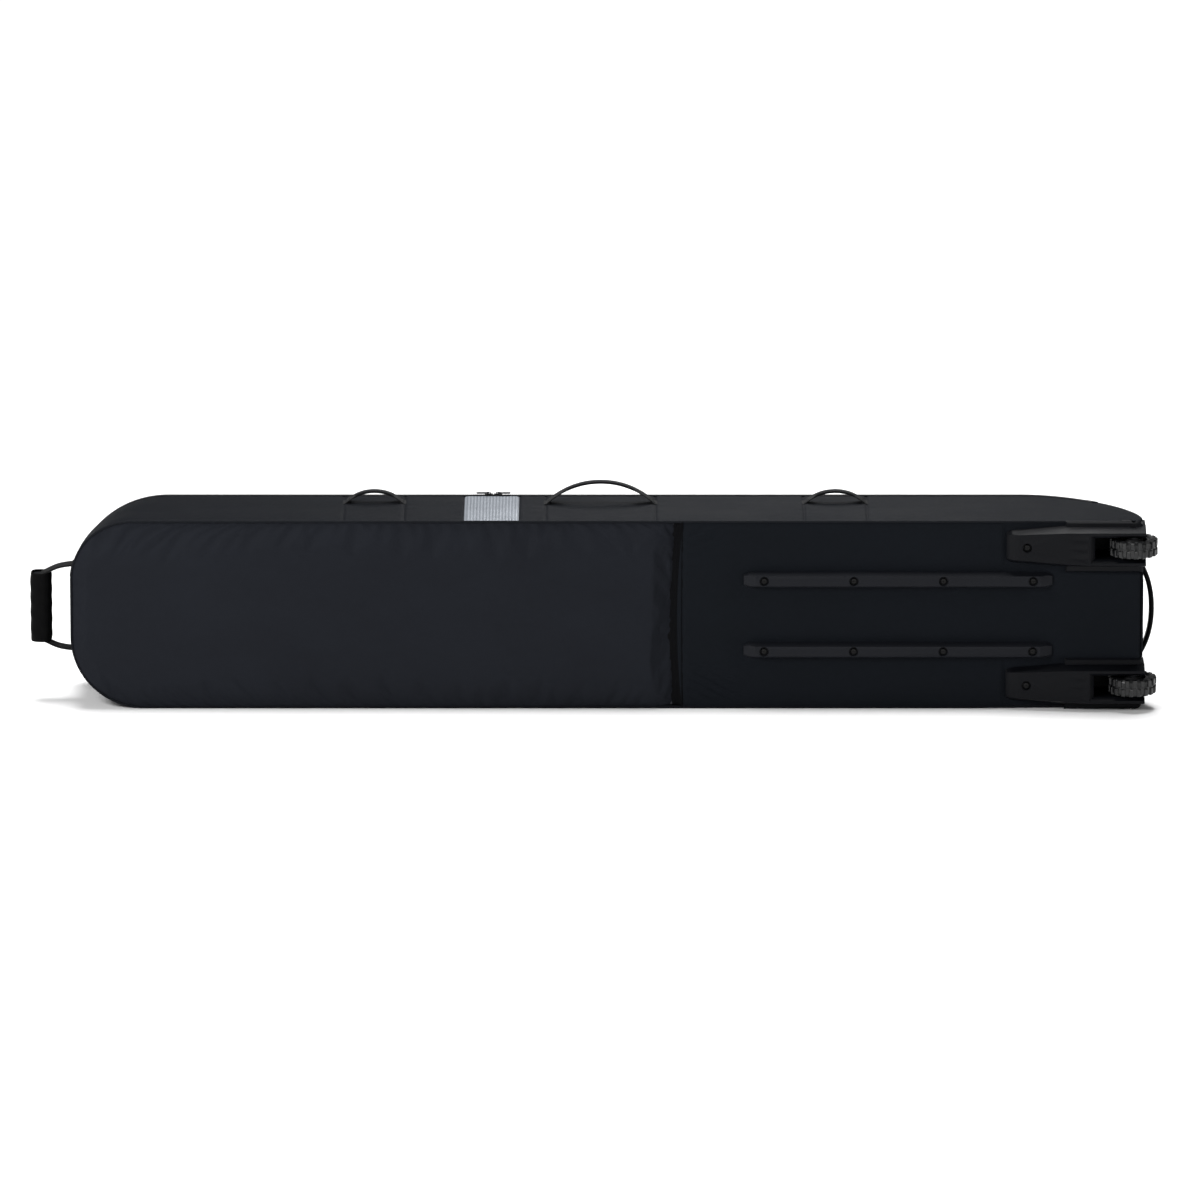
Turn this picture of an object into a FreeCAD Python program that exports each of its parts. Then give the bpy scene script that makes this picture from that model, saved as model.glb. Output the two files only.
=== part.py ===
import FreeCAD, Part
import math
import os

from FreeCAD import Vector

# Wheeled snowboard bag, standing on one long narrow side. Millimetres.
# +X runs from the tip end to the wheel end, +Z is up across the bag's width, and the underside,
# with its skid rails and wheels, faces -Y. The lid faces +Y. The origin is the middle of the
# long side that the bag stands on.

# ---- driving dimensions ----
BODY_LENGTH = 1680.0
BODY_WIDTH = 303.0
BODY_DEPTH = 178.0
WALL = 4.0
BASE_THICK = 5.0
PUFF = 3.0
TIP_RADIUS = 115.0
LID_TIP_RADIUS = 150.0
HEEL_RADIUS = 12.0

LID_THICK = 4.0
SPLIT_X = 767.0
END_RUN = 180.0
END_LIFT = 14.0
END_POWER = 1.2
TAPE_GAP = 0.4
TAPE_THICK = 2.4
TAPE_BAND = 10.0
HINGE_GAP = 0.3

FOLD_X = 118.0
FOLD_STRIP = 6.0
PATCH_START = -223.0
PATCH_END = -137.0

WHEEL_RADIUS = 38.0
TREAD_WIDTH = 28.0
WHEEL_X = 824.5
WHEEL_INSET = 40.5
AXLE_RADIUS = 4.0
BEARING_RADIUS = 11.0
BEARING_WIDTH = 7.0
RUNNING_FIT = 0.05
HUB_RADIUS = 25.0
HUB_LENGTH = 26.0
LUG_HEIGHT = 2.4
LUGS_AROUND = 18

WELL_START = 764.0
WELL_HALF = 17.0
CHEEK_HALF = 31.0
WELL_DEPTH = 43.0
WELL_WALL = 3.0
CHEEK_WALL = 8.0
FLANGE_START = 718.0
FLANGE_INNER = 82.3
FLANGE_THICK = 5.0
FAIRING_START = 626.0
FAIRING_HEIGHT = 25.0
LIP_THICK = 2.6
LIP_REACH = 20.0
LIP_START = 806.0
HOUSING_SCREW_X = 658.0

RAIL_START = 215.0
RAIL_END = 698.0
RAIL_INSET = 94.8
RAIL_HALF = 12.5
RAIL_HEIGHT = 12.0
RAIL_SCREW_START = 247.0
RAIL_SCREW_PITCH = 140.3
RAIL_SCREWS = 4

BOARD_THICK = 4.0
BOARD_START = 205.0
BOARD_INSET = 6.0
FOAM_THICK = 5.0

SCREW_RADIUS = 2.5
SCREW_CLEARANCE = 0.2
HEAD_RADIUS = 5.0
HEAD_HEIGHT = 3.5
RECESS_RADIUS = 7.5
RECESS_DEPTH = 5.0
WASHER_RADIUS = 9.0
WASHER_THICK = 1.5
NUT_FLATS = 8.0
NUT_HEIGHT = 4.0

WEBBING = 2.6
SIDE_HANDLE_Y = 29.0
ANCHOR_WIDTH = 25.0
GRIP_WIDTH = 14.0
PIVOT_HEIGHT = 8.0
JOINT_GAP = 0.6
SIDE_HANDLES = {
    "side_handle_tip": (-412.0, -317.0, 21.0),
    "side_handle_mid": (-95.0, 77.0, 36.0),
    "side_handle_wheel": (310.0, 409.0, 21.0),
}

TIP_HANDLE_Y = -29.0
TIP_HANDLE_WIDTH = 30.0
TIP_HANDLE_ROOT = 67.5
TIP_HANDLE_GRIP = 55.0
TIP_HANDLE_REACH = 48.0
TIP_PIVOT = 20.0
GRIP_DEPTH = 34.0
GRIP_BREADTH = 36.0

END_HANDLE_Y = -42.0
END_HANDLE_BASE = 826.0
END_HANDLE_SPAN = 164.0
END_HANDLE_RISE = 33.0
END_HANDLE_PIVOT = 22.0
END_HANDLE_THICK = 5.0
END_HANDLE_WIDTH = 24.0

SLIDER_LENGTH = 13.0
SLIDER_WIDTH = 9.0
SLIDER_BODY = 1.9
SLIDER_BRIDGE = 3.0
SLIDER_CLEAR = 0.4
SLIDERS_MEET = -178.0
PULL_LENGTH = 20.0
PULL_HALF_THICK = 0.6
PIN_HEIGHT = 1.4

POCKET = (120.0, 600.0, 62.0, 246.0)
POCKET_THICK = 3.0
POCKET_TAPE = 8.0
POCKET_TAPE_THICK = 1.5
POCKET_SLIDER_X = 146.0

TIE_DOWNS = (-450.0, -60.0)
TIE_DOWN_WIDTH = 38.0
TIE_DOWN_THICK = 2.0

HALF_LENGTH = BODY_LENGTH / 2
UNDERSIDE = -BODY_DEPTH / 2
TOPSIDE = BODY_DEPTH / 2
MID_Z = BODY_WIDTH / 2
BIG = 3000.0
UPPER_WHEEL_Z = BODY_WIDTH - WHEEL_INSET
UPPER_RAIL_Z = BODY_WIDTH - RAIL_INSET
BASE_INSIDE = UNDERSIDE + BASE_THICK
FOAM_INSIDE = BASE_INSIDE + FOAM_THICK


# ---- helpers ----
def save(shape, node):
    shape.exportStep("parts/" + node + ".step")


def group(solids):
    return Part.makeCompound(solids)


def block(x0, x1, y0, y1, z0, z1):
    return Part.makeBox(x1 - x0, y1 - y0, z1 - z0, Vector(x0, y0, z0))


def rod(radius, start, direction, length):
    return Part.makeCylinder(radius, length, Vector(*start), Vector(*direction))


def mirrored(shape):
    """The same piece on the other half of the bag's width."""
    return shape.mirror(Vector(0, 0, MID_Z), Vector(0, 0, 1))


def prism(points, direction):
    """Extrude a closed polygon of vectors."""
    wire = Part.makePolygon(points + [points[0]])
    return Part.Face(wire).extrude(direction)


def corner(middle, radius, start_degrees):
    """A quarter circle in the XZ plane, turning clockwise from the given angle."""
    angles = [math.radians(start_degrees - step) for step in (0, 45, 90)]
    ends = [middle + Vector(math.cos(a), 0, math.sin(a)) * radius for a in angles]
    return Part.Arc(*ends)


def outline(inset, tip_radius, y0, y1):
    """The bag's outline as seen from the underside, inset all round, with one tip radius."""
    left = -HALF_LENGTH + inset
    right = HALF_LENGTH - inset
    low = inset
    high = BODY_WIDTH - inset
    tip = tip_radius - inset
    heel = HEEL_RADIUS - inset
    arcs = [
        corner(Vector(left + tip, y0, high - tip), tip, 180),
        corner(Vector(right - heel, y0, high - heel), heel, 90),
        corner(Vector(right - heel, y0, low + heel), heel, 0),
        corner(Vector(left + tip, y0, low + tip), tip, -90),
    ]
    edges = []
    for index, arc in enumerate(arcs):
        following = arcs[(index + 1) % len(arcs)]
        edges.append(arc.toShape())
        edges.append(Part.LineSegment(arc.EndPoint, following.StartPoint).toShape())
    return Part.Face(Part.Wire(edges)).extrude(Vector(0, y1 - y0, 0))


def tip_corner(inset):
    """What the rounded tip leaves of one upper corner: its radius grows from the underside to the lid."""
    left = -HALF_LENGTH + inset
    high = BODY_WIDTH - inset
    rings = []
    for y, tip_radius in ((UNDERSIDE, TIP_RADIUS), (TOPSIDE, LID_TIP_RADIUS)):
        tip = tip_radius - inset
        arc = corner(Vector(left + tip, y, high - tip), tip, 180)
        far = Vector(left - 1, y, high + 1)
        edges = [
            arc.toShape(),
            Part.LineSegment(arc.EndPoint, Vector(left + tip, y, high + 1)).toShape(),
            Part.LineSegment(Vector(left + tip, y, high + 1), far).toShape(),
            Part.LineSegment(far, Vector(left - 1, y, high - tip)).toShape(),
            Part.LineSegment(Vector(left - 1, y, high - tip), arc.StartPoint).toShape(),
        ]
        rings.append(Part.Wire(edges))
    return Part.makeLoft(rings, True, True)


def plan(inset, y0=UNDERSIDE, y1=TOPSIDE):
    """The bag's outline between two depths, inset all round, with a tip that is rounder by the lid."""
    solid = outline(inset, TIP_RADIUS, y0, y1)
    waste = tip_corner(inset)
    return solid.cut(waste).cut(mirrored(waste))


def profile(drop, z0=0.0, z1=BODY_WIDTH):
    """The bag's side profile, with its lid side lowered by drop, between two heights."""
    centre = Vector(HALF_LENGTH - END_RUN, UNDERSIDE + END_LIFT, z0)
    run = END_RUN - drop
    rise = BODY_DEPTH - END_LIFT - drop
    points = []
    for step in range(11):
        turn = math.radians(9 * step)
        along = run * max(math.cos(turn), 0.0) ** END_POWER
        up = rise * math.sin(turn) ** END_POWER
        points.append(centre + Vector(along, up, 0))
    curve = Part.BSplineCurve()
    curve.interpolate(points)
    lid_end = Vector(-HALF_LENGTH, TOPSIDE - drop, z0)
    base_end = Vector(-HALF_LENGTH, UNDERSIDE, z0)
    heel = Vector(HALF_LENGTH - drop, UNDERSIDE, z0)
    edges = [
        curve.toShape(),
        Part.LineSegment(points[-1], lid_end).toShape(),
        Part.LineSegment(lid_end, base_end).toShape(),
        Part.LineSegment(base_end, heel).toShape(),
        Part.LineSegment(heel, points[0]).toShape(),
    ]
    return Part.Face(Part.Wire(edges)).extrude(Vector(0, 0, z1 - z0))


def lofted(sections):
    """A faceted body through cross-sections of (x, height, half width at foot, at crown)."""
    wires = []
    for x, height, foot, crown in sections:
        ring = [
            Vector(x, UNDERSIDE, -foot),
            Vector(x, UNDERSIDE - height, -crown),
            Vector(x, UNDERSIDE - height, crown),
            Vector(x, UNDERSIDE, foot),
        ]
        wires.append(Part.makePolygon(ring + [ring[0]]))
    return Part.makeLoft(wires, True, True)


def ring_of(outer, inner, start, direction, length):
    return rod(outer, start, direction, length).cut(rod(inner, start, direction, length))


def hexagon(flats, start, height):
    """A hexagonal nut blank on an axis along +Y."""
    reach = flats / math.sqrt(3)
    points = []
    for side in range(6):
        turn = math.radians(60 * side)
        across = reach * math.cos(turn)
        up = reach * math.sin(turn)
        points.append(Vector(start[0] + across, start[1], start[2] + up))
    return prism(points, Vector(0, height, 0))


def arch(span, rise, thick, width):
    """A strap bent into a circular arch over z = 0, as wide as width along Y."""
    half = span / 2
    radius = (half * half + rise * rise) / (2 * rise)
    start = (0, -width / 2, rise - radius)
    band = ring_of(radius, radius - thick, start, (0, 1, 0), width)
    return band.common(block(-half, half, -width, width, 0, rise + thick))


def arch_cut(span, rise, height):
    """How far from its middle an arch's outer face is at a given height."""
    half = span / 2
    radius = (half * half + rise * rise) / (2 * rise)
    return math.sqrt(radius ** 2 - (height - rise + radius) ** 2)


# ---- shell panels ----
def wheel_well_room():
    """The space that both wheel wells take out of the bag's panels."""
    room = block(
        WELL_START - WELL_WALL - 0.3, BIG, -BIG, UNDERSIDE + WELL_DEPTH + WELL_WALL + 0.3,
        UPPER_WHEEL_Z - CHEEK_HALF - 0.3, UPPER_WHEEL_Z + CHEEK_HALF + 0.3,
    )
    return room.fuse(mirrored(room))


def lip_room():
    """The rebate at each wheel-end corner that the housing's rim wraps into."""
    band = plan(0.0).cut(plan(LIP_THICK + 0.1))
    lip_top = UNDERSIDE + LIP_REACH + 0.2
    upper = block(LIP_START - 0.2, BIG, -BIG, lip_top, BODY_WIDTH - FLANGE_INNER - 0.2, BIG)
    return band.common(upper.fuse(mirrored(upper)))


def shell_panels():
    rim = plan(0.0).cut(plan(WALL))
    rooms = wheel_well_room().fuse(lip_room())
    inner_face = UNDERSIDE + WALL
    below_tape = profile(TAPE_BAND).common(block(-BIG, SPLIT_X + 3, -BIG, BIG, -BIG, BIG))
    past_split = profile(LID_THICK + 0.05).common(block(SPLIT_X + 3, BIG, -BIG, BIG, -BIG, BIG))
    wall_zone = below_tape.fuse(past_split)
    flat_start = -HALF_LENGTH + LID_TIP_RADIUS

    upper = rim.common(wall_zone).common(block(flat_start, BIG, inner_face, BIG, MID_Z, BIG)).cut(rooms)
    upper = upper.common(block(-BIG, HALF_LENGTH - WALL, -BIG, BIG, BODY_WIDTH - WALL, BIG))
    save(upper.common(block(-BIG, PATCH_START, -BIG, BIG, -BIG, BIG)), "side_wall_upper_tip")
    save(upper.common(block(PATCH_START, PATCH_END, -BIG, BIG, -BIG, BIG)), "reflective_panel")
    save(upper.common(block(PATCH_END, BIG, -BIG, BIG, -BIG, BIG)), "side_wall_upper_wheel")

    hinge_zone = profile(LID_THICK + HINGE_GAP)
    lower = rim.common(hinge_zone).common(block(flat_start, HALF_LENGTH - WALL, inner_face, BIG, 0, WALL))
    save(lower.cut(rooms), "side_wall_lower")

    tip = rim.common(wall_zone).common(block(-BIG, flat_start, inner_face, BIG, -BIG, BIG))
    save(tip, "tip_end_wall")

    end_band = profile(0.0).cut(profile(LID_THICK)).common(plan(0.0))
    wheel_end = end_band.common(block(SPLIT_X + 3, BIG, inner_face, BIG, -BIG, BIG)).cut(rooms)
    save(wheel_end, "wheel_end_wall")

    lid = profile(0.0).cut(profile(LID_THICK)).common(plan(0.0))
    lid = lid.common(block(-BIG, SPLIT_X - 3, 0, BIG, WALL / 2 + HINGE_GAP, BIG))
    save(lid, "lid_panel")

    tape_rim = plan(0.8).cut(plan(0.8 + TAPE_THICK)).common(block(-BIG, SPLIT_X + 3, 0, BIG, WALL, BIG))
    middle = (LID_THICK + TAPE_BAND) / 2
    lid_tape = profile(LID_THICK).cut(profile(middle - TAPE_GAP / 2)).common(tape_rim)
    lid_tape = lid_tape.common(block(-BIG, SPLIT_X - TAPE_GAP / 2, -BIG, BIG, -BIG, BIG))
    wall_tape = profile(middle + TAPE_GAP / 2).cut(profile(TAPE_BAND)).common(tape_rim)
    across = profile(0.8).cut(profile(0.8 + TAPE_THICK)).common(plan(WALL + 0.2))
    lid_across = across.common(block(SPLIT_X - 3, SPLIT_X - TAPE_GAP / 2, 0, BIG, -BIG, BIG))
    wall_across = across.common(block(SPLIT_X + TAPE_GAP / 2, SPLIT_X + 3, 0, BIG, -BIG, BIG))
    save(group([lid_tape, lid_across]), "zipper_tape_lid")
    save(group([wall_tape, wall_across]), "zipper_tape_wall")


def base_panels():
    rooms = wheel_well_room().fuse(lip_room())
    screws = screw_holes()
    floor = plan(WALL, UNDERSIDE, BASE_INSIDE)
    wheel_part = floor.common(block(FOLD_X, BIG, -BIG, BIG, -BIG, BIG)).cut(rooms).cut(screws)
    save(wheel_part, "base_panel_wheel_end")
    padded = plan(WALL, UNDERSIDE - PUFF, BASE_INSIDE)
    save(padded.common(block(-BIG, FOLD_X - FOLD_STRIP, -BIG, BIG, -BIG, BIG)), "base_panel_tip_end")
    fold = floor.common(block(FOLD_X - FOLD_STRIP, FOLD_X, -BIG, BIG, -BIG, BIG))
    save(fold, "base_fold_gusset")
    piping = plan(0.0, UNDERSIDE, UNDERSIDE + WALL).cut(plan(WALL, UNDERSIDE, UNDERSIDE + WALL))
    save(piping.cut(rooms), "base_piping")
    board = plan(BOARD_INSET, BASE_INSIDE, BASE_INSIDE + BOARD_THICK)
    board = board.common(block(BOARD_START, BIG, -BIG, BIG, -BIG, BIG))
    save(board.cut(rooms).cut(screws), "base_board")
    foam = plan(BOARD_INSET, BASE_INSIDE, FOAM_INSIDE)
    save(foam.common(block(-BIG, BOARD_START - 1, -BIG, BIG, -BIG, BIG)), "base_foam")


def tie_downs():
    """Hook-and-loop straps lying flat on the foam, one half on top of the other."""
    lower = []
    upper = []
    for x in TIE_DOWNS:
        x0 = x - TIE_DOWN_WIDTH / 2
        x1 = x + TIE_DOWN_WIDTH / 2
        first = FOAM_INSIDE + TIE_DOWN_THICK
        second = first + TIE_DOWN_THICK
        lower.append(block(x0, x1, FOAM_INSIDE, first, WALL, MID_Z + 20))
        loose = block(x0, x1, first, second, MID_Z - 25, BODY_WIDTH - WALL)
        upper.append(loose)
    save(group(lower), "tie_down_hook_straps")
    save(group(upper), "tie_down_loop_straps")


# ---- fasteners ----
def rail_screw_places():
    places = []
    for index in range(RAIL_SCREWS):
        x = RAIL_SCREW_START + index * RAIL_SCREW_PITCH
        places.append((x, RAIL_INSET))
        places.append((x, UPPER_RAIL_Z))
    return places


def housing_screw_places():
    return [(HOUSING_SCREW_X, WHEEL_INSET), (HOUSING_SCREW_X, UPPER_WHEEL_Z)]


def screw_holes():
    holes = []
    for x, z in rail_screw_places() + housing_screw_places():
        holes.append(rod(SCREW_RADIUS + SCREW_CLEARANCE, (x, UNDERSIDE - 40, z), (0, 1, 0), 80))
    return group(holes)


def recess(x, z, crown):
    """The counterbore for a screw head in a face that stands proud of the underside by crown."""
    return rod(RECESS_RADIUS, (x, UNDERSIDE - crown - 5, z), (0, 1, 0), 5 + RECESS_DEPTH)


def screw(x, z, crown):
    seat = UNDERSIDE - crown + RECESS_DEPTH
    end = BASE_INSIDE + BOARD_THICK + WASHER_THICK + NUT_HEIGHT + 1.5
    crown_y = seat - HEAD_HEIGHT
    head = rod(HEAD_RADIUS, (x, crown_y, z), (0, 1, 0), HEAD_HEIGHT)
    head = head.makeChamfer(1.2, [edge for edge in head.Edges if edge.BoundBox.YMax < crown_y + 0.1])
    drive = block(x - 3, x + 3, crown_y - 1, crown_y + 1.6, z - 0.6, z + 0.6)
    across = block(x - 0.6, x + 0.6, crown_y - 1, crown_y + 1.6, z - 3, z + 3)
    shank = rod(SCREW_RADIUS, (x, seat, z), (0, 1, 0), end - seat)
    return head.fuse(shank).cut(drive).cut(across)


def washer(x, z):
    start = (x, BASE_INSIDE + BOARD_THICK, z)
    return ring_of(WASHER_RADIUS, SCREW_RADIUS + SCREW_CLEARANCE, start, (0, 1, 0), WASHER_THICK)


def nut(x, z):
    y = BASE_INSIDE + BOARD_THICK + WASHER_THICK
    hole = rod(SCREW_RADIUS + 0.02, (x, y - 1, z), (0, 1, 0), NUT_HEIGHT + 2)
    return hexagon(NUT_FLATS, (x, y, z), NUT_HEIGHT).cut(hole)


def fasteners():
    sets = (
        ("rail", rail_screw_places(), RAIL_HEIGHT),
        ("housing", housing_screw_places(), fairing_height(HOUSING_SCREW_X)),
    )
    for name, places, crown in sets:
        save(group([screw(x, z, crown) for x, z in places]), name + "_screws")
        save(group([washer(x, z) for x, z in places]), name + "_washers")
        save(group([nut(x, z) for x, z in places]), name + "_nuts")


# ---- skid rails ----
def skid_rail():
    ramp = 26.0
    low = 3.0
    narrow = 0.7
    sections = [
        (RAIL_START, low, RAIL_HALF * narrow, RAIL_HALF * narrow - 2),
        (RAIL_START + ramp / 3, RAIL_HEIGHT * 0.6, RAIL_HALF, RAIL_HALF - 4),
        (RAIL_START + ramp * 0.7, RAIL_HEIGHT, RAIL_HALF, RAIL_HALF - 4.5),
        (RAIL_END - ramp * 0.7, RAIL_HEIGHT, RAIL_HALF, RAIL_HALF - 4.5),
        (RAIL_END - ramp / 3, RAIL_HEIGHT * 0.6, RAIL_HALF, RAIL_HALF - 4),
        (RAIL_END, low, RAIL_HALF * narrow, RAIL_HALF * narrow - 2),
    ]
    rail = lofted(sections)
    rail.translate(Vector(0, 0, UPPER_RAIL_Z))
    for x, z in rail_screw_places():
        rail = rail.cut(recess(x, z, RAIL_HEIGHT))
    return rail.cut(screw_holes())


# ---- wheel housings ----
FAIRING = (
    (0.0, 3.0, 23.0, 19.0),
    (8.0, 10.0, 26.0, 20.0),
    (20.0, 13.0, 27.0, 20.5),
    (96.0, 21.0, 33.5, 25.0),
    (130.0, FAIRING_HEIGHT, 33.5, 26.0),
    (217.5, FAIRING_HEIGHT, 33.5, 26.0),
)


def fairing_height(x):
    """The fairing's crown height at a place along the bag."""
    along = x - FAIRING_START
    for near, far in zip(FAIRING, FAIRING[1:]):
        if near[0] <= along <= far[0]:
            part = (along - near[0]) / (far[0] - near[0])
            return near[1] + part * (far[1] - near[1])
    return FAIRING_HEIGHT


def wheel_housing():
    """The upper moulded housing: fairing, flange with a wrap-round rim, well and axle cheeks."""
    end = FAIRING_START + FAIRING[-1][0]
    centre = UPPER_WHEEL_Z
    fairing = lofted([(FAIRING_START + x, height, foot, crown) for x, height, foot, crown in FAIRING])
    fairing.translate(Vector(0, 0, centre))

    flange = plan(0.0, UNDERSIDE - FLANGE_THICK, UNDERSIDE)
    flange = flange.common(block(FLANGE_START, BIG, -BIG, BIG, BODY_WIDTH - FLANGE_INNER, BIG))
    slopes = [edge for edge in flange.Edges if edge.BoundBox.YMax < UNDERSIDE - FLANGE_THICK + 0.01]
    flange = flange.makeChamfer(3.0, slopes)

    rim = plan(0.0, UNDERSIDE, UNDERSIDE + LIP_REACH).cut(plan(LIP_THICK, UNDERSIDE, UNDERSIDE + LIP_REACH))
    rim = rim.common(block(LIP_START, BIG, -BIG, BIG, BODY_WIDTH - FLANGE_INNER, BIG))

    end_cap = block(
        HALF_LENGTH - 1, end, UNDERSIDE - FLANGE_THICK, UNDERSIDE + WELL_DEPTH + WELL_WALL,
        centre - CHEEK_HALF, centre + CHEEK_HALF,
    )
    well = block(
        WELL_START - WELL_WALL, HALF_LENGTH, UNDERSIDE - 1, UNDERSIDE + WELL_DEPTH + WELL_WALL,
        centre - CHEEK_HALF, centre + CHEEK_HALF,
    )
    body = fairing.fuse([flange, rim, end_cap, well])

    slot = block(
        WELL_START, end + 10, UNDERSIDE - 60, UNDERSIDE + WELL_DEPTH,
        centre - WELL_HALF, centre + WELL_HALF,
    )
    funnel_depth = 7.0
    crown = UNDERSIDE - FAIRING_HEIGHT
    rings = []
    for grow, y in ((5.0, crown - 0.01), (0.0, crown + funnel_depth)):
        start = WELL_START - (funnel_depth if grow else 0.0)
        half = WELL_HALF + grow
        ring = [
            Vector(start, y, centre - half), Vector(end + 10, y, centre - half),
            Vector(end + 10, y, centre + half), Vector(start, y, centre + half),
        ]
        rings.append(Part.makePolygon(ring + [ring[0]]))
    funnel = Part.makeLoft(rings, True, True)
    body = body.cut(slot).cut(funnel)

    for offset in (-15.0, 0.0, 15.0):
        flute = rod(9.0, (FLANGE_START - 8, UNDERSIDE - 29.0, centre + offset), (1, 0, 0), 42)
        flute.rotate(Vector(FLANGE_START - 8, UNDERSIDE - 29.0, centre + offset), Vector(0, 0, 1), -5.0)
        body = body.cut(flute)

    axle_hole = rod(AXLE_RADIUS + RUNNING_FIT, (WHEEL_X, UNDERSIDE, centre - 60), (0, 0, 1), 120)
    body = body.cut(axle_hole)
    pocket_radius = 8.4
    for side in (-1, 1):
        start = (WHEEL_X, UNDERSIDE, centre + side * (WELL_HALF + CHEEK_WALL))
        body = body.cut(rod(pocket_radius, start, (0, 0, side), CHEEK_HALF - WELL_HALF - CHEEK_WALL + 0.5))
    body = body.cut(recess(HOUSING_SCREW_X, centre, fairing_height(HOUSING_SCREW_X)))
    return body.cut(screw_holes())


# ---- wheels ----
def axle():
    """A cross bolt with a round head in the upper housing; its nut is separate."""
    centre = UPPER_WHEEL_Z
    grip = WELL_HALF + CHEEK_WALL
    bolt = rod(AXLE_RADIUS, (WHEEL_X, UNDERSIDE, centre - grip - 4.5), (0, 0, 1), 2 * grip + 4.5)
    head = rod(6.8, (WHEEL_X, UNDERSIDE, centre + grip), (0, 0, 1), 4.0)
    return bolt.fuse(head)


def axle_nut():
    centre = UPPER_WHEEL_Z
    grip = WELL_HALF + CHEEK_WALL
    blank = hexagon(12.0, (0, 0, 0), 4.0)
    blank.rotate(Vector(0, 0, 0), Vector(1, 0, 0), 90)
    blank.translate(Vector(WHEEL_X, UNDERSIDE, centre - grip - 4.0))
    return blank.cut(rod(AXLE_RADIUS + 0.02, (WHEEL_X, UNDERSIDE, centre - grip - 6), (0, 0, 1), 8))


def axle_spacers():
    """Sleeves between each bearing and the cheek beside it."""
    centre = UPPER_WHEEL_Z
    inner = HUB_LENGTH / 2 + 0.3
    width = WELL_HALF - inner - 0.1
    spacers = []
    for low in (centre - inner - width, centre + inner):
        start = (WHEEL_X, UNDERSIDE, low)
        spacers.append(ring_of(6.5, AXLE_RADIUS + RUNNING_FIT, start, (0, 0, 1), width))
    return spacers


def revolved(points):
    """Turn a closed (radius, height) outline about the wheel's axis."""
    start = Vector(WHEEL_X, UNDERSIDE, UPPER_WHEEL_Z)
    ring = [start + Vector(radius, 0, height) for radius, height in points]
    face = Part.Face(Part.makePolygon(ring + [ring[0]]))
    return face.revolve(start, Vector(0, 0, 1), 360)


def tyre():
    half = TREAD_WIDTH / 2
    base = WHEEL_RADIUS - LUG_HEIGHT
    inner = HUB_RADIUS + 0.02
    carcass = revolved([
        (inner, -half + 2), (base - 6, -half), (base - 2, -half + 1.5), (base, -half + 5),
        (base, half - 5), (base - 2, half - 1.5), (base - 6, half), (inner, half - 2),
    ])
    lugs = []
    lug_length = math.pi * WHEEL_RADIUS / LUGS_AROUND
    for index in range(LUGS_AROUND):
        for side in (-1, 1):
            turn = 360.0 / LUGS_AROUND * (index + (0.25 if side > 0 else -0.25))
            low = 1.0 if side > 0 else -half + 1.2
            high = half - 1.2 if side > 0 else -1.0
            lug = block(base - 3.5, WHEEL_RADIUS, -lug_length / 2, lug_length / 2, low, high)
            lug = lug.makeChamfer(1.2, [e for e in lug.Edges if e.BoundBox.XMin > WHEEL_RADIUS - 0.1])
            lug.rotate(Vector(0, 0, 0), Vector(0, 0, 1), turn)
            lug.translate(Vector(WHEEL_X, UNDERSIDE, UPPER_WHEEL_Z))
            lugs.append(lug)
    return carcass.fuse(lugs)


def hub():
    half = HUB_LENGTH / 2
    seat = half - BEARING_WIDTH
    wheel = revolved([
        (BEARING_RADIUS + 0.02, half), (14.5, half), (14.5, 4.0), (21.5, 4.0), (21.5, half - 2),
        (HUB_RADIUS, half - 2), (HUB_RADIUS, -half + 2), (21.5, -half + 2), (21.5, -4.0),
        (14.5, -4.0), (14.5, -half), (BEARING_RADIUS + 0.02, -half), (BEARING_RADIUS + 0.02, -seat),
        (6.5, -seat), (6.5, seat), (BEARING_RADIUS + 0.02, seat),
    ])
    for index in range(6):
        turn = math.radians(60 * index)
        start = (WHEEL_X + 18 * math.cos(turn), UNDERSIDE + 18 * math.sin(turn), UPPER_WHEEL_Z - 10)
        wheel = wheel.cut(rod(2.4, start, (0, 0, 1), 20))
    return wheel


def bearings():
    rings = []
    for low in (-HUB_LENGTH / 2, HUB_LENGTH / 2 - BEARING_WIDTH):
        start = (WHEEL_X, UNDERSIDE, UPPER_WHEEL_Z + low)
        ring = ring_of(BEARING_RADIUS, AXLE_RADIUS + RUNNING_FIT, start, (0, 0, 1), BEARING_WIDTH)
        groove_start = (WHEEL_X, UNDERSIDE, UPPER_WHEEL_Z + low + (0 if low < 0 else BEARING_WIDTH - 0.8))
        rings.append(ring.cut(ring_of(9.3, 6.3, groove_start, (0, 0, 1), 0.8)))
    return rings


def running_gear():
    housing = wheel_housing()
    rail = skid_rail()
    wheel_pieces = {
        "wheel_housing": housing, "skid_rail": rail, "axle": axle(),
        "tyre": tyre(), "hub": hub(), "bearings": group(bearings()),
    }
    for name, shape in wheel_pieces.items():
        save(shape, name + "_upper")
        save(mirrored(shape), name + "_lower")
    save(group([axle_nut(), mirrored(axle_nut())]), "axle_nuts")
    save(group(axle_spacers() + [mirrored(s) for s in axle_spacers()]), "axle_spacers")


# ---- handles ----
def split_handle(span, rise, thick, grip_width, anchor_width, pivot):
    """An arched strap over z = 0, parted at the pivot's height: (moving middle, [fixed end, fixed end])."""
    reach = arch_cut(span, rise, pivot)
    middle_zone = block(-reach + JOINT_GAP, reach - JOINT_GAP, -BIG, BIG, -BIG, BIG)
    middle = arch(span, rise, thick, grip_width).common(middle_zone)
    whole = arch(span, rise, thick, anchor_width)
    ends = [
        whole.common(block(-BIG, -reach, -BIG, BIG, -BIG, BIG)),
        whole.common(block(reach, BIG, -BIG, BIG, -BIG, BIG)),
    ]
    return middle, ends


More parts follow.
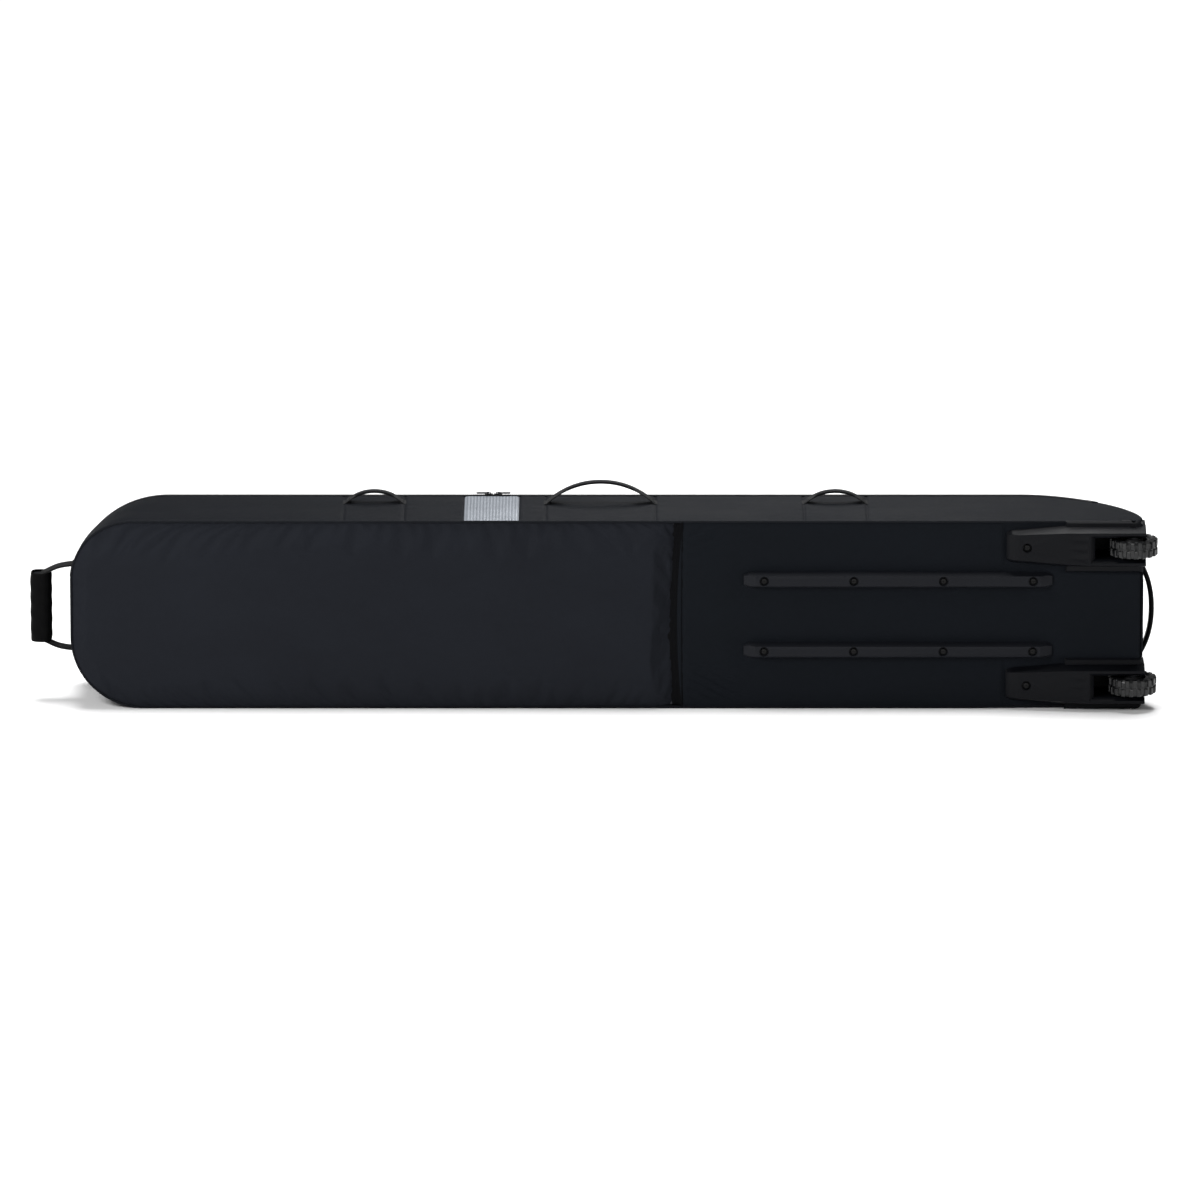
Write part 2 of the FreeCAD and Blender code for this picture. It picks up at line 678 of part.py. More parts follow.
def side_handles():
    anchors = []
    for node, (x0, x1, rise) in SIDE_HANDLES.items():
        middle, ends = split_handle(x1 - x0, rise, WEBBING, GRIP_WIDTH, ANCHOR_WIDTH, PIVOT_HEIGHT)
        place = Vector((x0 + x1) / 2, SIDE_HANDLE_Y, BODY_WIDTH)
        middle.translate(place)
        save(middle, node)
        for end in ends:
            end.translate(place)
            anchors.append(end)
    save(group(anchors), "side_handle_anchors")


def end_handle():
    middle, ends = split_handle(
        END_HANDLE_SPAN, END_HANDLE_RISE, END_HANDLE_THICK,
        END_HANDLE_WIDTH, END_HANDLE_WIDTH, END_HANDLE_PIVOT,
    )
    for shape in [middle] + ends:
        shape.rotate(Vector(0, 0, 0), Vector(0, 1, 0), 90)
        shape.translate(Vector(END_HANDLE_BASE, END_HANDLE_Y, MID_Z))
    save(middle, "wheel_end_handle")
    bag = profile(0.0)
    save(group([end.cut(bag) for end in ends]), "wheel_end_handle_anchors")


def tip_handle():
    """A webbing loop with a wrap-round grip, hinged a little way off the tip end wall."""
    wall = -HALF_LENGTH
    inside = wall + 12
    bend_x = wall - TIP_HANDLE_REACH + 14
    far_x = wall - TIP_HANDLE_REACH
    outer = []
    inner = []
    for side in (1, -1):
        outer_leg = [
            Vector(inside, 0, side * (TIP_HANDLE_ROOT + WEBBING / 2)),
            Vector(wall, 0, side * (TIP_HANDLE_ROOT + WEBBING / 2)),
            Vector(bend_x, 0, side * (TIP_HANDLE_GRIP + WEBBING / 2 + 1)),
            Vector(far_x - WEBBING / 2, 0, side * (TIP_HANDLE_GRIP - 8)),
        ]
        inner_leg = [
            Vector(inside, 0, side * (TIP_HANDLE_ROOT - WEBBING / 2)),
            Vector(wall, 0, side * (TIP_HANDLE_ROOT - WEBBING / 2)),
            Vector(bend_x + 1, 0, side * (TIP_HANDLE_GRIP - WEBBING / 2)),
            Vector(far_x + WEBBING / 2, 0, side * (TIP_HANDLE_GRIP - 10)),
        ]
        outer.extend(outer_leg if side > 0 else reversed(outer_leg))
        inner.extend(inner_leg if side > 0 else reversed(inner_leg))
    loop = prism(outer + list(reversed(inner)), Vector(0, TIP_HANDLE_WIDTH, 0))
    loop.translate(Vector(0, TIP_HANDLE_Y - TIP_HANDLE_WIDTH / 2, MID_Z))
    pivot = wall - TIP_PIVOT
    round_end = TIP_HANDLE_WIDTH / 2
    swinging = block(-BIG, pivot, -BIG, BIG, -BIG, BIG)
    swinging = swinging.fuse(rod(round_end, (pivot, TIP_HANDLE_Y, 0), (0, 0, 1), BODY_WIDTH))
    fixed = loop.common(block(pivot + round_end + JOINT_GAP, BIG, -BIG, BIG, -BIG, BIG))
    save(loop.common(swinging), "tip_handle_webbing")
    save(fixed.cut(plan(0.0)), "tip_handle_anchors")
    grip = block(
        far_x - GRIP_DEPTH / 2, far_x + GRIP_DEPTH / 2,
        TIP_HANDLE_Y - GRIP_BREADTH / 2, TIP_HANDLE_Y + GRIP_BREADTH / 2,
        MID_Z - TIP_HANDLE_GRIP, MID_Z + TIP_HANDLE_GRIP,
    )
    grip = grip.makeFillet(9.0, [e for e in grip.Edges if e.BoundBox.ZLength > TIP_HANDLE_GRIP])
    save(grip.cut(loop), "tip_handle_grip")


# ---- zip sliders ----
def slider():
    """A slider on a tape in the XY plane with its outer face at z = 0, and its pull tab."""
    half = SLIDER_LENGTH / 2
    wide = SLIDER_WIDTH / 2
    footprint = [
        Vector(-half, -wide * 0.75, SLIDER_CLEAR), Vector(half * 0.5, -wide, SLIDER_CLEAR),
        Vector(half, -wide * 0.6, SLIDER_CLEAR), Vector(half, wide * 0.6, SLIDER_CLEAR),
        Vector(half * 0.5, wide, SLIDER_CLEAR), Vector(-half, wide * 0.75, SLIDER_CLEAR),
    ]
    top = SLIDER_CLEAR + SLIDER_BODY
    body = prism(footprint, Vector(0, 0, SLIDER_BODY))
    bridge = block(-3.0, 3.0, -1.6, 1.6, top, top + SLIDER_BRIDGE)
    hole = block(-1.7, 1.7, -3, 3, top + 0.5, top + SLIDER_BRIDGE - 0.6)
    return body.fuse(bridge).cut(hole)


def pull_height():
    """The height of a pull tab's pin above its tape."""
    return SLIDER_CLEAR + SLIDER_BODY + PIN_HEIGHT


def pull():
    height = pull_height()
    thick = PULL_HALF_THICK
    pin = rod(thick, (0, -4.0, height), (0, 1, 0), 8.0)
    arms = [
        block(-thick, 8.0, side - thick, side + thick, height - thick, height + thick)
        for side in (-3.2, 3.2)
    ]
    tab = block(7.0, PULL_LENGTH, -4.0, 4.0, height - thick, height + thick)
    tab = tab.makeFillet(2.5, [e for e in tab.Edges if e.BoundBox.ZLength > thick and e.BoundBox.XMin > 8])
    return pin.fuse(arms + [tab])


def zip_sliders():
    tape_y = TOPSIDE - (LID_THICK + TAPE_BAND) / 2
    gap = 0.5
    for name, side in (("tip", -1), ("wheel", 1)):
        place = Vector(SLIDERS_MEET + side * (SLIDER_LENGTH / 2 + gap), tape_y, BODY_WIDTH)
        for node, shape in (("zip_slider_", slider()), ("zip_pull_", pull())):
            if side < 0:
                shape.rotate(Vector(0, 0, 0), Vector(0, 0, 1), 180)
            shape.translate(place)
            save(shape, node + name)


def lid_pocket():
    x0, x1, z0, z1 = POCKET
    panel = block(x0, x1, TOPSIDE, TOPSIDE + POCKET_THICK, z0, z1)
    panel = panel.makeFillet(18.0, [e for e in panel.Edges if e.BoundBox.YLength > 1])
    save(panel, "lid_pocket_panel")
    tape = block(x0, x1, TOPSIDE, TOPSIDE + POCKET_TAPE_THICK, z1 + 0.5, z1 + 0.5 + POCKET_TAPE)
    save(tape, "pocket_zipper_tape")
    place = Vector(POCKET_SLIDER_X, TOPSIDE + POCKET_TAPE_THICK, z1 + 0.5 + POCKET_TAPE / 2)
    for node, shape in (("pocket_slider", slider()), ("pocket_pull", pull())):
        shape.rotate(Vector(0, 0, 0), Vector(1, 0, 0), -90)
        shape.translate(place)
        save(shape, node)


def main():
    os.makedirs("parts", exist_ok=True)
    shell_panels()
    base_panels()
    tie_downs()
    fasteners()
    running_gear()
    side_handles()
    end_handle()
    tip_handle()
    zip_sliders()
    lid_pocket()


main()
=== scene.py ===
import math

import bmesh
import bpy
import numpy as np
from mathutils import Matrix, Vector


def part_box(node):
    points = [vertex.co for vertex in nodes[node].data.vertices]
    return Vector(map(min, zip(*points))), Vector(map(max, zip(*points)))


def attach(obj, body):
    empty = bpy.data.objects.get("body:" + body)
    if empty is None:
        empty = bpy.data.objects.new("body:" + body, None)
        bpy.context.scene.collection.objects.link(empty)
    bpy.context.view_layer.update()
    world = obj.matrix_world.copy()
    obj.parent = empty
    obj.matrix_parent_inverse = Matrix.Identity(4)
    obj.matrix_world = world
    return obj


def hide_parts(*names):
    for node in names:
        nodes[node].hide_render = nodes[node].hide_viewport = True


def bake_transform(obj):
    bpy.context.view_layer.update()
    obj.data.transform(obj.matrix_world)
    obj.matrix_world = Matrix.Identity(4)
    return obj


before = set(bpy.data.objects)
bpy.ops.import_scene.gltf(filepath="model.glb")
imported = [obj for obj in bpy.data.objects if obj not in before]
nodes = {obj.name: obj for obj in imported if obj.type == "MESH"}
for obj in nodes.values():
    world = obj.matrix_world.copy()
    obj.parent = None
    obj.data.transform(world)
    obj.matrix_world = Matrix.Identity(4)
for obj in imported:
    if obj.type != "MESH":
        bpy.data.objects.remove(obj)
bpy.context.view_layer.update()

# ---- sizes, in metres: the bag stands on its long side, underside towards -Y, lid towards +Y ----
MM = 0.001
piping_low, piping_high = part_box("base_piping")
LEFT = piping_low.x
RIGHT = piping_high.x
WIDTH = piping_high.z
MID_Z = WIDTH / 2
UNDER = piping_low.y
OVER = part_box("lid_pocket_panel")[0].y
WALL = piping_high.y - piping_low.y
TIP_RADIUS = 115 * MM
UPPER_TIP_RADIUS = 97 * MM
LID_TIP_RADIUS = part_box("tip_end_wall")[1].x - LEFT
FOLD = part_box("base_fold_gusset")[1].x
LID_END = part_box("lid_panel")[1].x
END_WALL_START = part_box("wheel_end_wall")[0].x
TAPE_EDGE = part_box("tip_end_wall")[1].y
END_RUN = 180 * MM
END_LIFT = 14 * MM
END_POWER = 1.2
WHEEL_Z = (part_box("tyre_upper")[0].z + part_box("tyre_upper")[1].z) / 2
CHEEK_HALF = 31.5 * MM
WELL_START = 760.5 * MM
WELL_FLOOR = UNDER + 46.5 * MM
WELL_SIDES = [
    WIDTH - WHEEL_Z - CHEEK_HALF, WIDTH - WHEEL_Z + CHEEK_HALF, WHEEL_Z - CHEEK_HALF, WHEEL_Z + CHEEK_HALF,
]
FLANGE_START, FLANGE_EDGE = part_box("wheel_housing_upper")[0].x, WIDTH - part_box("wheel_housing_upper")[0].z
RIM_START = 805 * MM
PIPING_END = 803 * MM
WALL_THICK = 3.6 * MM
PAD_INSET = 3.2 * MM
LID_INSET = 0.8 * MM
SEAMS = [-412 * MM, -317 * MM, -95 * MM, 77 * MM, 310 * MM, 409 * MM]


# ---- mesh helpers ----
def link(name, data):
    obj = bpy.data.objects.new(name, data)
    bpy.context.scene.collection.objects.link(obj)
    return obj


def add_object(name, verts, faces):
    mesh = bpy.data.meshes.new(name)
    mesh.from_pydata([tuple(v) for v in verts], [], faces)
    bm = bmesh.new()
    bm.from_mesh(mesh)
    bmesh.ops.recalc_face_normals(bm, faces=bm.faces)
    bm.to_mesh(mesh)
    bm.free()
    mesh.polygons.foreach_set("use_smooth", [True] * len(mesh.polygons))
    return link(name, mesh)


def slab(name, front, back, mask=None):
    """A closed sheet between two grids of points; mask leaves out cells."""
    rows, cols = front.shape[:2]
    if mask is None:
        mask = np.ones((rows - 1, cols - 1), bool)
    verts = np.concatenate([front.reshape(-1, 3), back.reshape(-1, 3)])
    shift = rows * cols
    faces = []
    for i in range(rows - 1):
        for j in range(cols - 1):
            if not mask[i, j]:
                continue
            a, b = i * cols + j, i * cols + j + 1
            c, d = b + cols, a + cols
            faces.append((a, b, c, d))
            faces.append((a + shift, d + shift, c + shift, b + shift))
            for ni, nj, p, q in ((i - 1, j, a, b), (i + 1, j, c, d), (i, j - 1, d, a), (i, j + 1, b, c)):
                inside = 0 <= ni < rows - 1 and 0 <= nj < cols - 1
                if not (inside and mask[ni, nj]):
                    faces.append((q, p, p + shift, q + shift))
    obj = add_object(name, verts, faces)
    bm = bmesh.new()
    bm.from_mesh(obj.data)
    loose = [v for v in bm.verts if not v.link_faces]
    bmesh.ops.delete(bm, geom=loose, context="VERTS")
    bm.to_mesh(obj.data)
    bm.free()
    return obj


def sweep(name, path, widths, thicks, across=(0, 1, 0), sides=14, power=0.55):
    """A strap or tube: a rounded rectangle carried along a path. Its width lies along across."""
    path = np.asarray(path, float)
    count = len(path)
    tangent = np.gradient(path, axis=0)
    tangent /= np.linalg.norm(tangent, axis=1)[:, None]
    across = np.broadcast_to(np.asarray(across, float), path.shape)
    normal = np.cross(tangent, across)
    normal /= np.linalg.norm(normal, axis=1)[:, None]
    across = np.cross(normal, tangent)
    widths = np.broadcast_to(widths, count)
    thicks = np.broadcast_to(thicks, count)
    verts = []
    for i in range(count):
        for k in range(sides):
            turn = 2 * math.pi * k / sides
            u = math.copysign(abs(math.cos(turn)) ** power, math.cos(turn)) * widths[i] / 2
            w = math.copysign(abs(math.sin(turn)) ** power, math.sin(turn)) * thicks[i] / 2
            verts.append(path[i] + across[i] * u + normal[i] * w)
    faces = []
    for start in range(0, (count - 1) * sides, sides):
        for k in range(sides):
            n = (k + 1) % sides
            faces.append((start + k, start + n, start + sides + n, start + sides + k))
    faces += [tuple(range(sides)), tuple(range((count - 1) * sides, count * sides))]
    return add_object(name, verts, faces)


def along_line(points, step=None, count=None, ahead=0.0):
    """Points spaced evenly along a line: a number of them, or one every step."""
    length = np.concatenate([[0], np.cumsum(np.linalg.norm(np.diff(points, axis=0), axis=1))])
    at = np.linspace(0, length[-1], count) if count else np.arange(length[-1] // step) * step
    return np.stack([np.interp(at + ahead, length, points[:, k]) for k in range(3)], 1)


def smooth_path(points, count):
    """Catmull-Rom line through given points, evenly stepped."""
    pts = np.asarray(points, float)
    pts = np.vstack([2 * pts[0] - pts[1], pts, 2 * pts[-1] - pts[-2]])
    line = []
    steps = 16
    for i in range(1, len(pts) - 2):
        p0, p1, p2, p3 = pts[i - 1:i + 3]
        for k in range(steps):
            t = k / steps
            line.append(0.5 * (
                2 * p1 + (p2 - p0) * t + (2 * p0 - 5 * p1 + 4 * p2 - p3) * t * t
                + (3 * p1 - p0 - 3 * p2 + p3) * t ** 3
            ))
    line.append(pts[-2])
    return along_line(np.array(line), count=count)


def ripple(u, v, scale, seed, layers=5):
    """Smooth irregular waves in -1..1 over two coordinates, the same every run."""
    rng = np.random.RandomState(seed)
    total = np.zeros(np.broadcast(u, v).shape)
    for _ in range(layers):
        angle = rng.uniform(0, math.pi)
        pitch = scale * rng.uniform(0.6, 1.6)
        phase = rng.uniform(0, 2 * math.pi)
        total += np.sin((u * math.cos(angle) + v * math.sin(angle)) * 2 * math.pi / pitch + phase)
    return total / layers


def bump(distance, reach):
    return np.exp(-(distance / reach) ** 2)


def swell(distance, height, reach):
    """Rises from nothing at a seam to a height, over about the reach."""
    return height * (1 - np.exp(-distance / reach))


def ramp(distance, reach):
    return np.clip(distance / reach, 0, 1)


def smoothstep(t):
    return t * t * (3 - 2 * t)


def cell_middles(grid):
    return (grid[:-1, :-1] + grid[1:, 1:]) / 2


def off_surface(x, y, z, nx, ny, height):
    """Points at a height over a surface whose outward normal is nx, ny."""
    return np.stack([x + nx * height, y + ny * height, z], 2)


def outside_box(low, high, x, z):
    """How far points lie outside a box, seen along the depth."""
    gap_x = np.maximum(np.maximum(low.x - x, x - high.x), 0)
    gap_z = np.maximum(np.maximum(low.z - z, z - high.z), 0)
    return np.hypot(gap_x, gap_z)


def bevelled(node, name, width, segments, angle):
    """A CAD node's own shape with small rounded edges, where faces meet at more than an angle."""
    mesh = nodes[node].data.copy()
    mesh.name = name
    bm = bmesh.new()
    bm.from_mesh(mesh)
    bmesh.ops.remove_doubles(bm, verts=bm.verts, dist=0.00002)
    bmesh.ops.dissolve_limit(
        bm, angle_limit=math.radians(1.0), verts=bm.verts, edges=bm.edges, delimit=set()
    )
    bm.to_mesh(mesh)
    bm.free()
    mesh.materials.clear()
    obj = link(name, mesh)
    edge = obj.modifiers.new("edges", "BEVEL")
    edge.width = width
    edge.segments = segments
    edge.limit_method = "ANGLE"
    edge.angle_limit = math.radians(angle)
    edge.use_clamp_overlap = True
    edge.harden_normals = False
    mesh.polygons.foreach_set("use_smooth", [True] * len(mesh.polygons))
    mesh.set_sharp_from_angle(angle=math.radians(35))
    return obj


def inflate(skin, pressure, growth, cap):
    """Blow up a sewn-down skin of cloth, held along its seams; its points move by the cap at most.
    """
    rows, cols = skin.shape[:2]
    faces = []
    for i in range(rows - 1):
        for j in range(cols - 1):
            a = i * cols + j
            faces.append((a, a + 1, a + 1 + cols, a + cols))
    cloth = add_object("skin", skin.reshape(-1, 3), faces)
    count = rows * cols
    edge = [k for k in range(count) if k // cols in (0, rows - 1) or k % cols in (0, cols - 1)]
    seams = cloth.vertex_groups.new(name="seams")
    seams.add(edge, 1.0, "ADD")
    modifier = cloth.modifiers.new("cloth", "CLOTH")
    settings = modifier.settings
    settings.quality = 5
    settings.mass = 0.25
    settings.tension_stiffness = 12
    settings.compression_stiffness = 12
    settings.shear_stiffness = 4
    settings.bending_stiffness = 0.35
    settings.vertex_group_mass = "seams"
    settings.use_pressure = True
    settings.uniform_pressure_force = pressure
    settings.shrink_min = -growth
    settings.effector_weights.gravity = 0.0
    modifier.collision_settings.use_collision = False
    modifier.collision_settings.use_self_collision = False
    frames = 20
    modifier.point_cache.frame_start = 1
    modifier.point_cache.frame_end = frames
    for number in range(1, frames + 1):
        bpy.context.scene.frame_set(number)
    settled = cloth.evaluated_get(bpy.context.evaluated_depsgraph_get())
    moved = np.empty(count * 3)
    settled.data.vertices.foreach_get("co", moved)
    bpy.context.scene.frame_set(1)
    bpy.data.objects.remove(cloth)
    shift = moved.reshape(rows, cols, 3) - skin
    size = np.linalg.norm(shift, axis=2, keepdims=True)
    return skin + shift * np.minimum(1, cap / np.maximum(size, 1e-9))


# ---- materials ----
class Paint:
    """A short way to build one procedural material."""

    def __init__(self, name):
        self.material = bpy.data.materials.new(name)
        self.material.use_nodes = True
        self.tree = self.material.node_tree
        self.shader = self.tree.nodes["Principled BSDF"]
        coords = self.tree.nodes.new("ShaderNodeTexCoord")
        self.place = coords.outputs["Object"]

    def node(self, kind, **inputs):
        made = self.tree.nodes.new(kind)
        for key, value in inputs.items():
            self.feed(made.inputs[key.replace("_", " ")], value)
        return made

    def feed(self, socket, value):
        if isinstance(value, bpy.types.NodeSocket):
            self.tree.links.new(value, socket)
        else:
            socket.default_value = value

    def math(self, operation, a, b=0.0):
        made = self.tree.nodes.new("ShaderNodeMath")
        made.operation = operation
        self.feed(made.inputs[0], a)
        self.feed(made.inputs[1], b)
        return made.outputs[0]

    def noise(self, scale, detail=3.0, stretch=None):
        place = self.place
        if stretch:
            mapping = self.node("ShaderNodeMapping", Vector=place, Scale=stretch)
            place = mapping.outputs[0]
        made = self.node("ShaderNodeTexNoise", Vector=place, Scale=scale, Detail=detail)
        return made.outputs["Fac"]

    def axes(self):
        return self.node("ShaderNodeSeparateXYZ", Vector=self.place).outputs

    def wave(self, coordinate, pitch):
        return self.math("SINE", self.math("MULTIPLY", coordinate, 2 * math.pi / pitch))

    def weave(self, pitch):
        """Crossed threads on any face of the bag."""
        x, y, z = self.axes()
        return self.math("MULTIPLY", self.wave(x, pitch), self.wave(self.math("ADD", y, z), pitch))

    def blend(self, first, share, second, other):
        first = self.math("MULTIPLY", first, share)
        return self.math("ADD", first, self.math("MULTIPLY", second, other))

    def between(self, factor, low, high):
        return self.math("ADD", self.math("MULTIPLY", factor, high - low), low)

    def mix(self, factor, dark, light):
        ramp = self.tree.nodes.new("ShaderNodeMix")
        ramp.data_type = "RGBA"
        self.feed(ramp.inputs["Factor"], factor)
        self.feed(ramp.inputs[6], (*dark, 1) if isinstance(dark, tuple) else dark)
        self.feed(ramp.inputs[7], (*light, 1) if isinstance(light, tuple) else light)
        return ramp.outputs[2]

    def relief(self, layers):
        """Stack bumps of (height socket, depth in metres)."""
        normal = None
        for height, depth in layers:
            made = self.node("ShaderNodeBump", Height=height, Distance=depth, Strength=1.0)
            if normal is not None:
                self.feed(made.inputs["Normal"], normal)
            normal = made.outputs["Normal"]
        self.feed(self.shader.inputs["Normal"], normal)

    def finish(self, color, roughness, specular, metallic=0.0, sheen=0.0):
        self.feed(self.shader.inputs["Base Color"], color)
        self.feed(self.shader.inputs["Roughness"], roughness)
        self.shader.inputs["Specular IOR Level"].default_value = specular
        self.shader.inputs["Metallic"].default_value = metallic
        self.shader.inputs["Sheen Weight"].default_value = sheen
        self.shader.inputs["Sheen Roughness"].default_value = 0.45
        return self.material


def fabric(name, dark, light, sheen, pitch=1.3 * MM, crumple=0.4 * MM):
    """Coated woven polyester: fine crossed threads, faint slubs and soft cloudy tone."""
    p = Paint(name)
    clouds = p.noise(7.0, 4.0, (1.0, 2.0, 2.0))
    threads = p.weave(pitch)
    slubs = p.noise(900.0, 2.0, (0.25, 1.0, 1.0))
    tone = p.blend(clouds, 0.75, slubs, 0.25)
    tone = p.math("ADD", tone, p.math("MULTIPLY", threads, 0.06))
    color = p.mix(tone, dark, light)
    crease = p.noise(22.0, 5.0, (1.0, 1.6, 1.6))
    p.relief([(crease, crumple), (threads, 0.06 * MM), (slubs, 0.05 * MM)])
    return p.finish(color, p.between(clouds, 0.62, 0.8), specular=0.07, sheen=sheen)


def webbing(name, dark, light, pitch=2.2 * MM):
    """Ribbed nylon tape."""
    p = Paint(name)
    x, y, z = p.axes()
    rib = p.wave(p.math("ADD", x, z), pitch)
    yarn = p.wave(y, pitch * 0.7)
    threads = p.math("MULTIPLY", rib, yarn)
    fuzz = p.noise(700.0, 2.0)
    tone = p.blend(fuzz, 0.7, threads, 0.3)
    p.relief([(threads, 0.25 * MM), (fuzz, 0.1 * MM)])
    return p.finish(p.mix(tone, dark, light), 0.68, specular=0.12, sheen=0.04)


def moulded(name, dark, light, rough=(0.38, 0.55), specular=0.45):
    """Moulded plastic with a fine spark-eroded grain and worn, slightly smoother patches."""
    p = Paint(name)
    patches = p.noise(14.0, 4.0)
    pores = p.noise(1600.0, 2.0)
    scuffs = p.noise(90.0, 5.0, (0.3, 1.0, 1.0))
    tone = p.blend(patches, 0.6, scuffs, 0.4)
    roughness = p.between(tone, *rough)
    p.relief([(pores, 0.05 * MM), (scuffs, 0.04 * MM)])
    return p.finish(p.mix(tone, dark, light), roughness, specular=specular)


def metal(name, dark, light, rough=(0.3, 0.45), metallic=1.0):
    """Brushed or blackened metal with faint stains."""
    p = Paint(name)
    brushed = p.noise(300.0, 3.0, (1.0, 1.0, 6.0))
    stains = p.noise(60.0, 3.0)
    roughness = p.between(stains, *rough)
    p.relief([(brushed, 0.02 * MM)])
    return p.finish(p.mix(stains, dark, light), roughness, specular=0.5, metallic=metallic)


def rubber(name, dark, light):
    """Dull rubber with dust in its pores."""
    p = Paint(name)
    dust = p.noise(120.0, 4.0)
    pores = p.noise(1100.0, 2.0)
    roughness = p.math("ADD", p.math("MULTIPLY", dust, 0.22), 0.2)
    p.relief([(pores, 0.04 * MM), (dust, 0.1 * MM)])
    return p.finish(p.mix(dust, dark, light), roughness, specular=0.4)


def reflective(name, dark, light, pitch):
    """Reflective film over a honeycomb of small raised dots."""
    p = Paint(name)
    x, y, z = p.axes()
    up = p.math("ADD", y, z)
    waves = []
    for turn in (0, 60, 120):
        a = math.radians(turn)
        along = p.blend(x, math.cos(a), up, math.sin(a))
        shifted = p.math("MULTIPLY", along, 2 * math.pi / (pitch * 0.866))
        waves.append(p.math("COSINE", shifted))
    cells = p.math("ADD", p.math("ADD", waves[0], waves[1]), waves[2])
    dots = p.math("MULTIPLY", p.math("ADD", cells, 1.5), 0.22)
    film = p.noise(40.0, 3.0)
    tone = p.blend(dots, 0.75, film, 0.25)
    p.relief([(dots, 0.25 * MM), (p.noise(500.0), 0.03 * MM)])
    return p.finish(p.mix(tone, dark, light), 0.42, specular=0.5, metallic=0.25)


def foam_skin(name, dark, light):
    """Thin lining over foam, quilted in diamonds."""
    p = Paint(name)
    x, y, z = p.axes()
    diamond = 70 * MM
    first = p.wave(p.math("ADD", x, z), diamond)
    second = p.wave(p.math("SUBTRACT", x, z), diamond)
    quilt = p.math("MULTIPLY", p.math("ABSOLUTE", first), p.math("ABSOLUTE", second))
    cells = p.noise(260.0, 3.0)
    p.relief([(quilt, 1.6 * MM), (cells, 0.12 * MM)])
    return p.finish(p.mix(cells, dark, light), 0.85, specular=0.2, sheen=0.15)


def plain_floor(name):
    p = Paint(name)
    grain = p.noise(3.0, 2.0)
    return p.finish(p.mix(grain, (0.93, 0.93, 0.93), (0.96, 0.96, 0.96)), 0.9, specular=0.1)


PANEL_TONES = ((0.0062, 0.007, 0.0098), (0.0112, 0.0128, 0.017))
BAG_CLOTH = fabric("bag_cloth", *PANEL_TONES, 0.01)
WHEEL_CLOTH = fabric("wheel_panel_cloth", (0.0022, 0.0032, 0.0048), (0.0051, 0.0065, 0.0093), 0.005)
# The side cloth is the bag cloth made several times darker: painted shade that offsets the overhead light on
# the top-facing wall; the lower wall and the lid hinge share it.
SIDE_SHADE_CLOTH = fabric("side_cloth_painted_shade", (0.0016, 0.0022, 0.0036), (0.004, 0.0051, 0.0076), 0.008)
LID_CLOTH = fabric("lid_cloth", *PANEL_TONES, 0.01)
WRAP_CLOTH = fabric("wrap_cloth", (0.0002, 0.0002, 0.0003), (0.0008, 0.0008, 0.001), 0.0, 1.6 * MM, 0.6 * MM)
# Near-black cloth for the crease strip and its seam: painted shade for the shadow down the fold.
FOLD_SHADE_CLOTH = fabric("fold_cloth_painted_shade", (0.0006, 0.0006, 0.001), (0.0016, 0.0018, 0.0026), 0.0, 0.9 * MM, 0.1 * MM)
HANDLE_WEB = webbing("handle_webbing", (0.0009, 0.0009, 0.0011), (0.003, 0.0031, 0.0037))
PIPE_CLOTH = fabric("piping_cloth", (0.0035, 0.004, 0.0055), (0.007, 0.008, 0.0105), 0.01, 0.9 * MM, 0.1 * MM)
STRAP = webbing("strap_webbing", (0.0022, 0.0025, 0.0031), (0.0072, 0.0078, 0.0094))
ZIP_TAPE = webbing("zip_tape_weave", (0.003, 0.003, 0.004), (0.008, 0.0085, 0.0105), 1.2 * MM)
ZIP_COIL = moulded("zip_coil_nylon", (0.004, 0.004, 0.005), (0.009, 0.009, 0.011), (0.35, 0.5))
HOUSING = moulded("housing_nylon", (0.0016, 0.0019, 0.0028), (0.0033, 0.0037, 0.0053), (0.4, 0.55), 0.1)
RAIL = moulded("rail_polyethylene", (0.0047, 0.0053, 0.0071), (0.0083, 0.0093, 0.0126), (0.45, 0.6), 0.12)
HUB = moulded("hub_nylon", (0.012, 0.012, 0.013), (0.024, 0.024, 0.027))
BOARD = moulded("board_plastic", (0.02, 0.02, 0.021), (0.035, 0.035, 0.037), (0.5, 0.7))
HANDLE_SKIN = moulded("handle_elastomer", (0.0009, 0.0009, 0.0011), (0.0024, 0.0024, 0.003), (0.4, 0.5), 0.04)
TYRE = rubber("tyre_urethane", (0.0014, 0.0015, 0.0018), (0.0042, 0.0045, 0.0053))
FILM = reflective("reflective_film", (0.07, 0.08, 0.095), (0.4, 0.43, 0.475), 5.8 * MM)
LINING = foam_skin("lining_quilt", (0.025, 0.027, 0.032), (0.045, 0.048, 0.056))
SCREW = moulded("screw_blacking", (0.0006, 0.0006, 0.0008), (0.0018, 0.0018, 0.0022), (0.3, 0.42), 0.18)
BLACK_METAL = metal("black_oxide", (0.0022, 0.0022, 0.0026), (0.006, 0.006, 0.007), (0.34, 0.48), 0.5)
STEEL = metal("zinc_steel", (0.42, 0.42, 0.44), (0.6, 0.6, 0.62))


def place(obj, material, body, slot, replaced=()):
    obj.data.materials.clear()
    obj.data.materials.append(material)
    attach(obj, body)
    if replaced:
        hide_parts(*replaced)
    return obj


def place_bent(obj, material, replaced=()):
    """For cloth left unattached: gives it its material, bakes its placement into its mesh and hides what it
    replaces.
    """
    obj.data.materials.append(material)
    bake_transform(obj)
    if replaced:
        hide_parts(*replaced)


# ---- the bag's outline and profile ----
def tip_radius(z, y):
    """The tip is rounder by the lid than by the underside, where its upper corner is drawn tighter."""
    near = np.where(z > MID_Z, UPPER_TIP_RADIUS, TIP_RADIUS)
    return near + (LID_TIP_RADIUS - near) * (y - UNDER) / (OVER - UNDER)


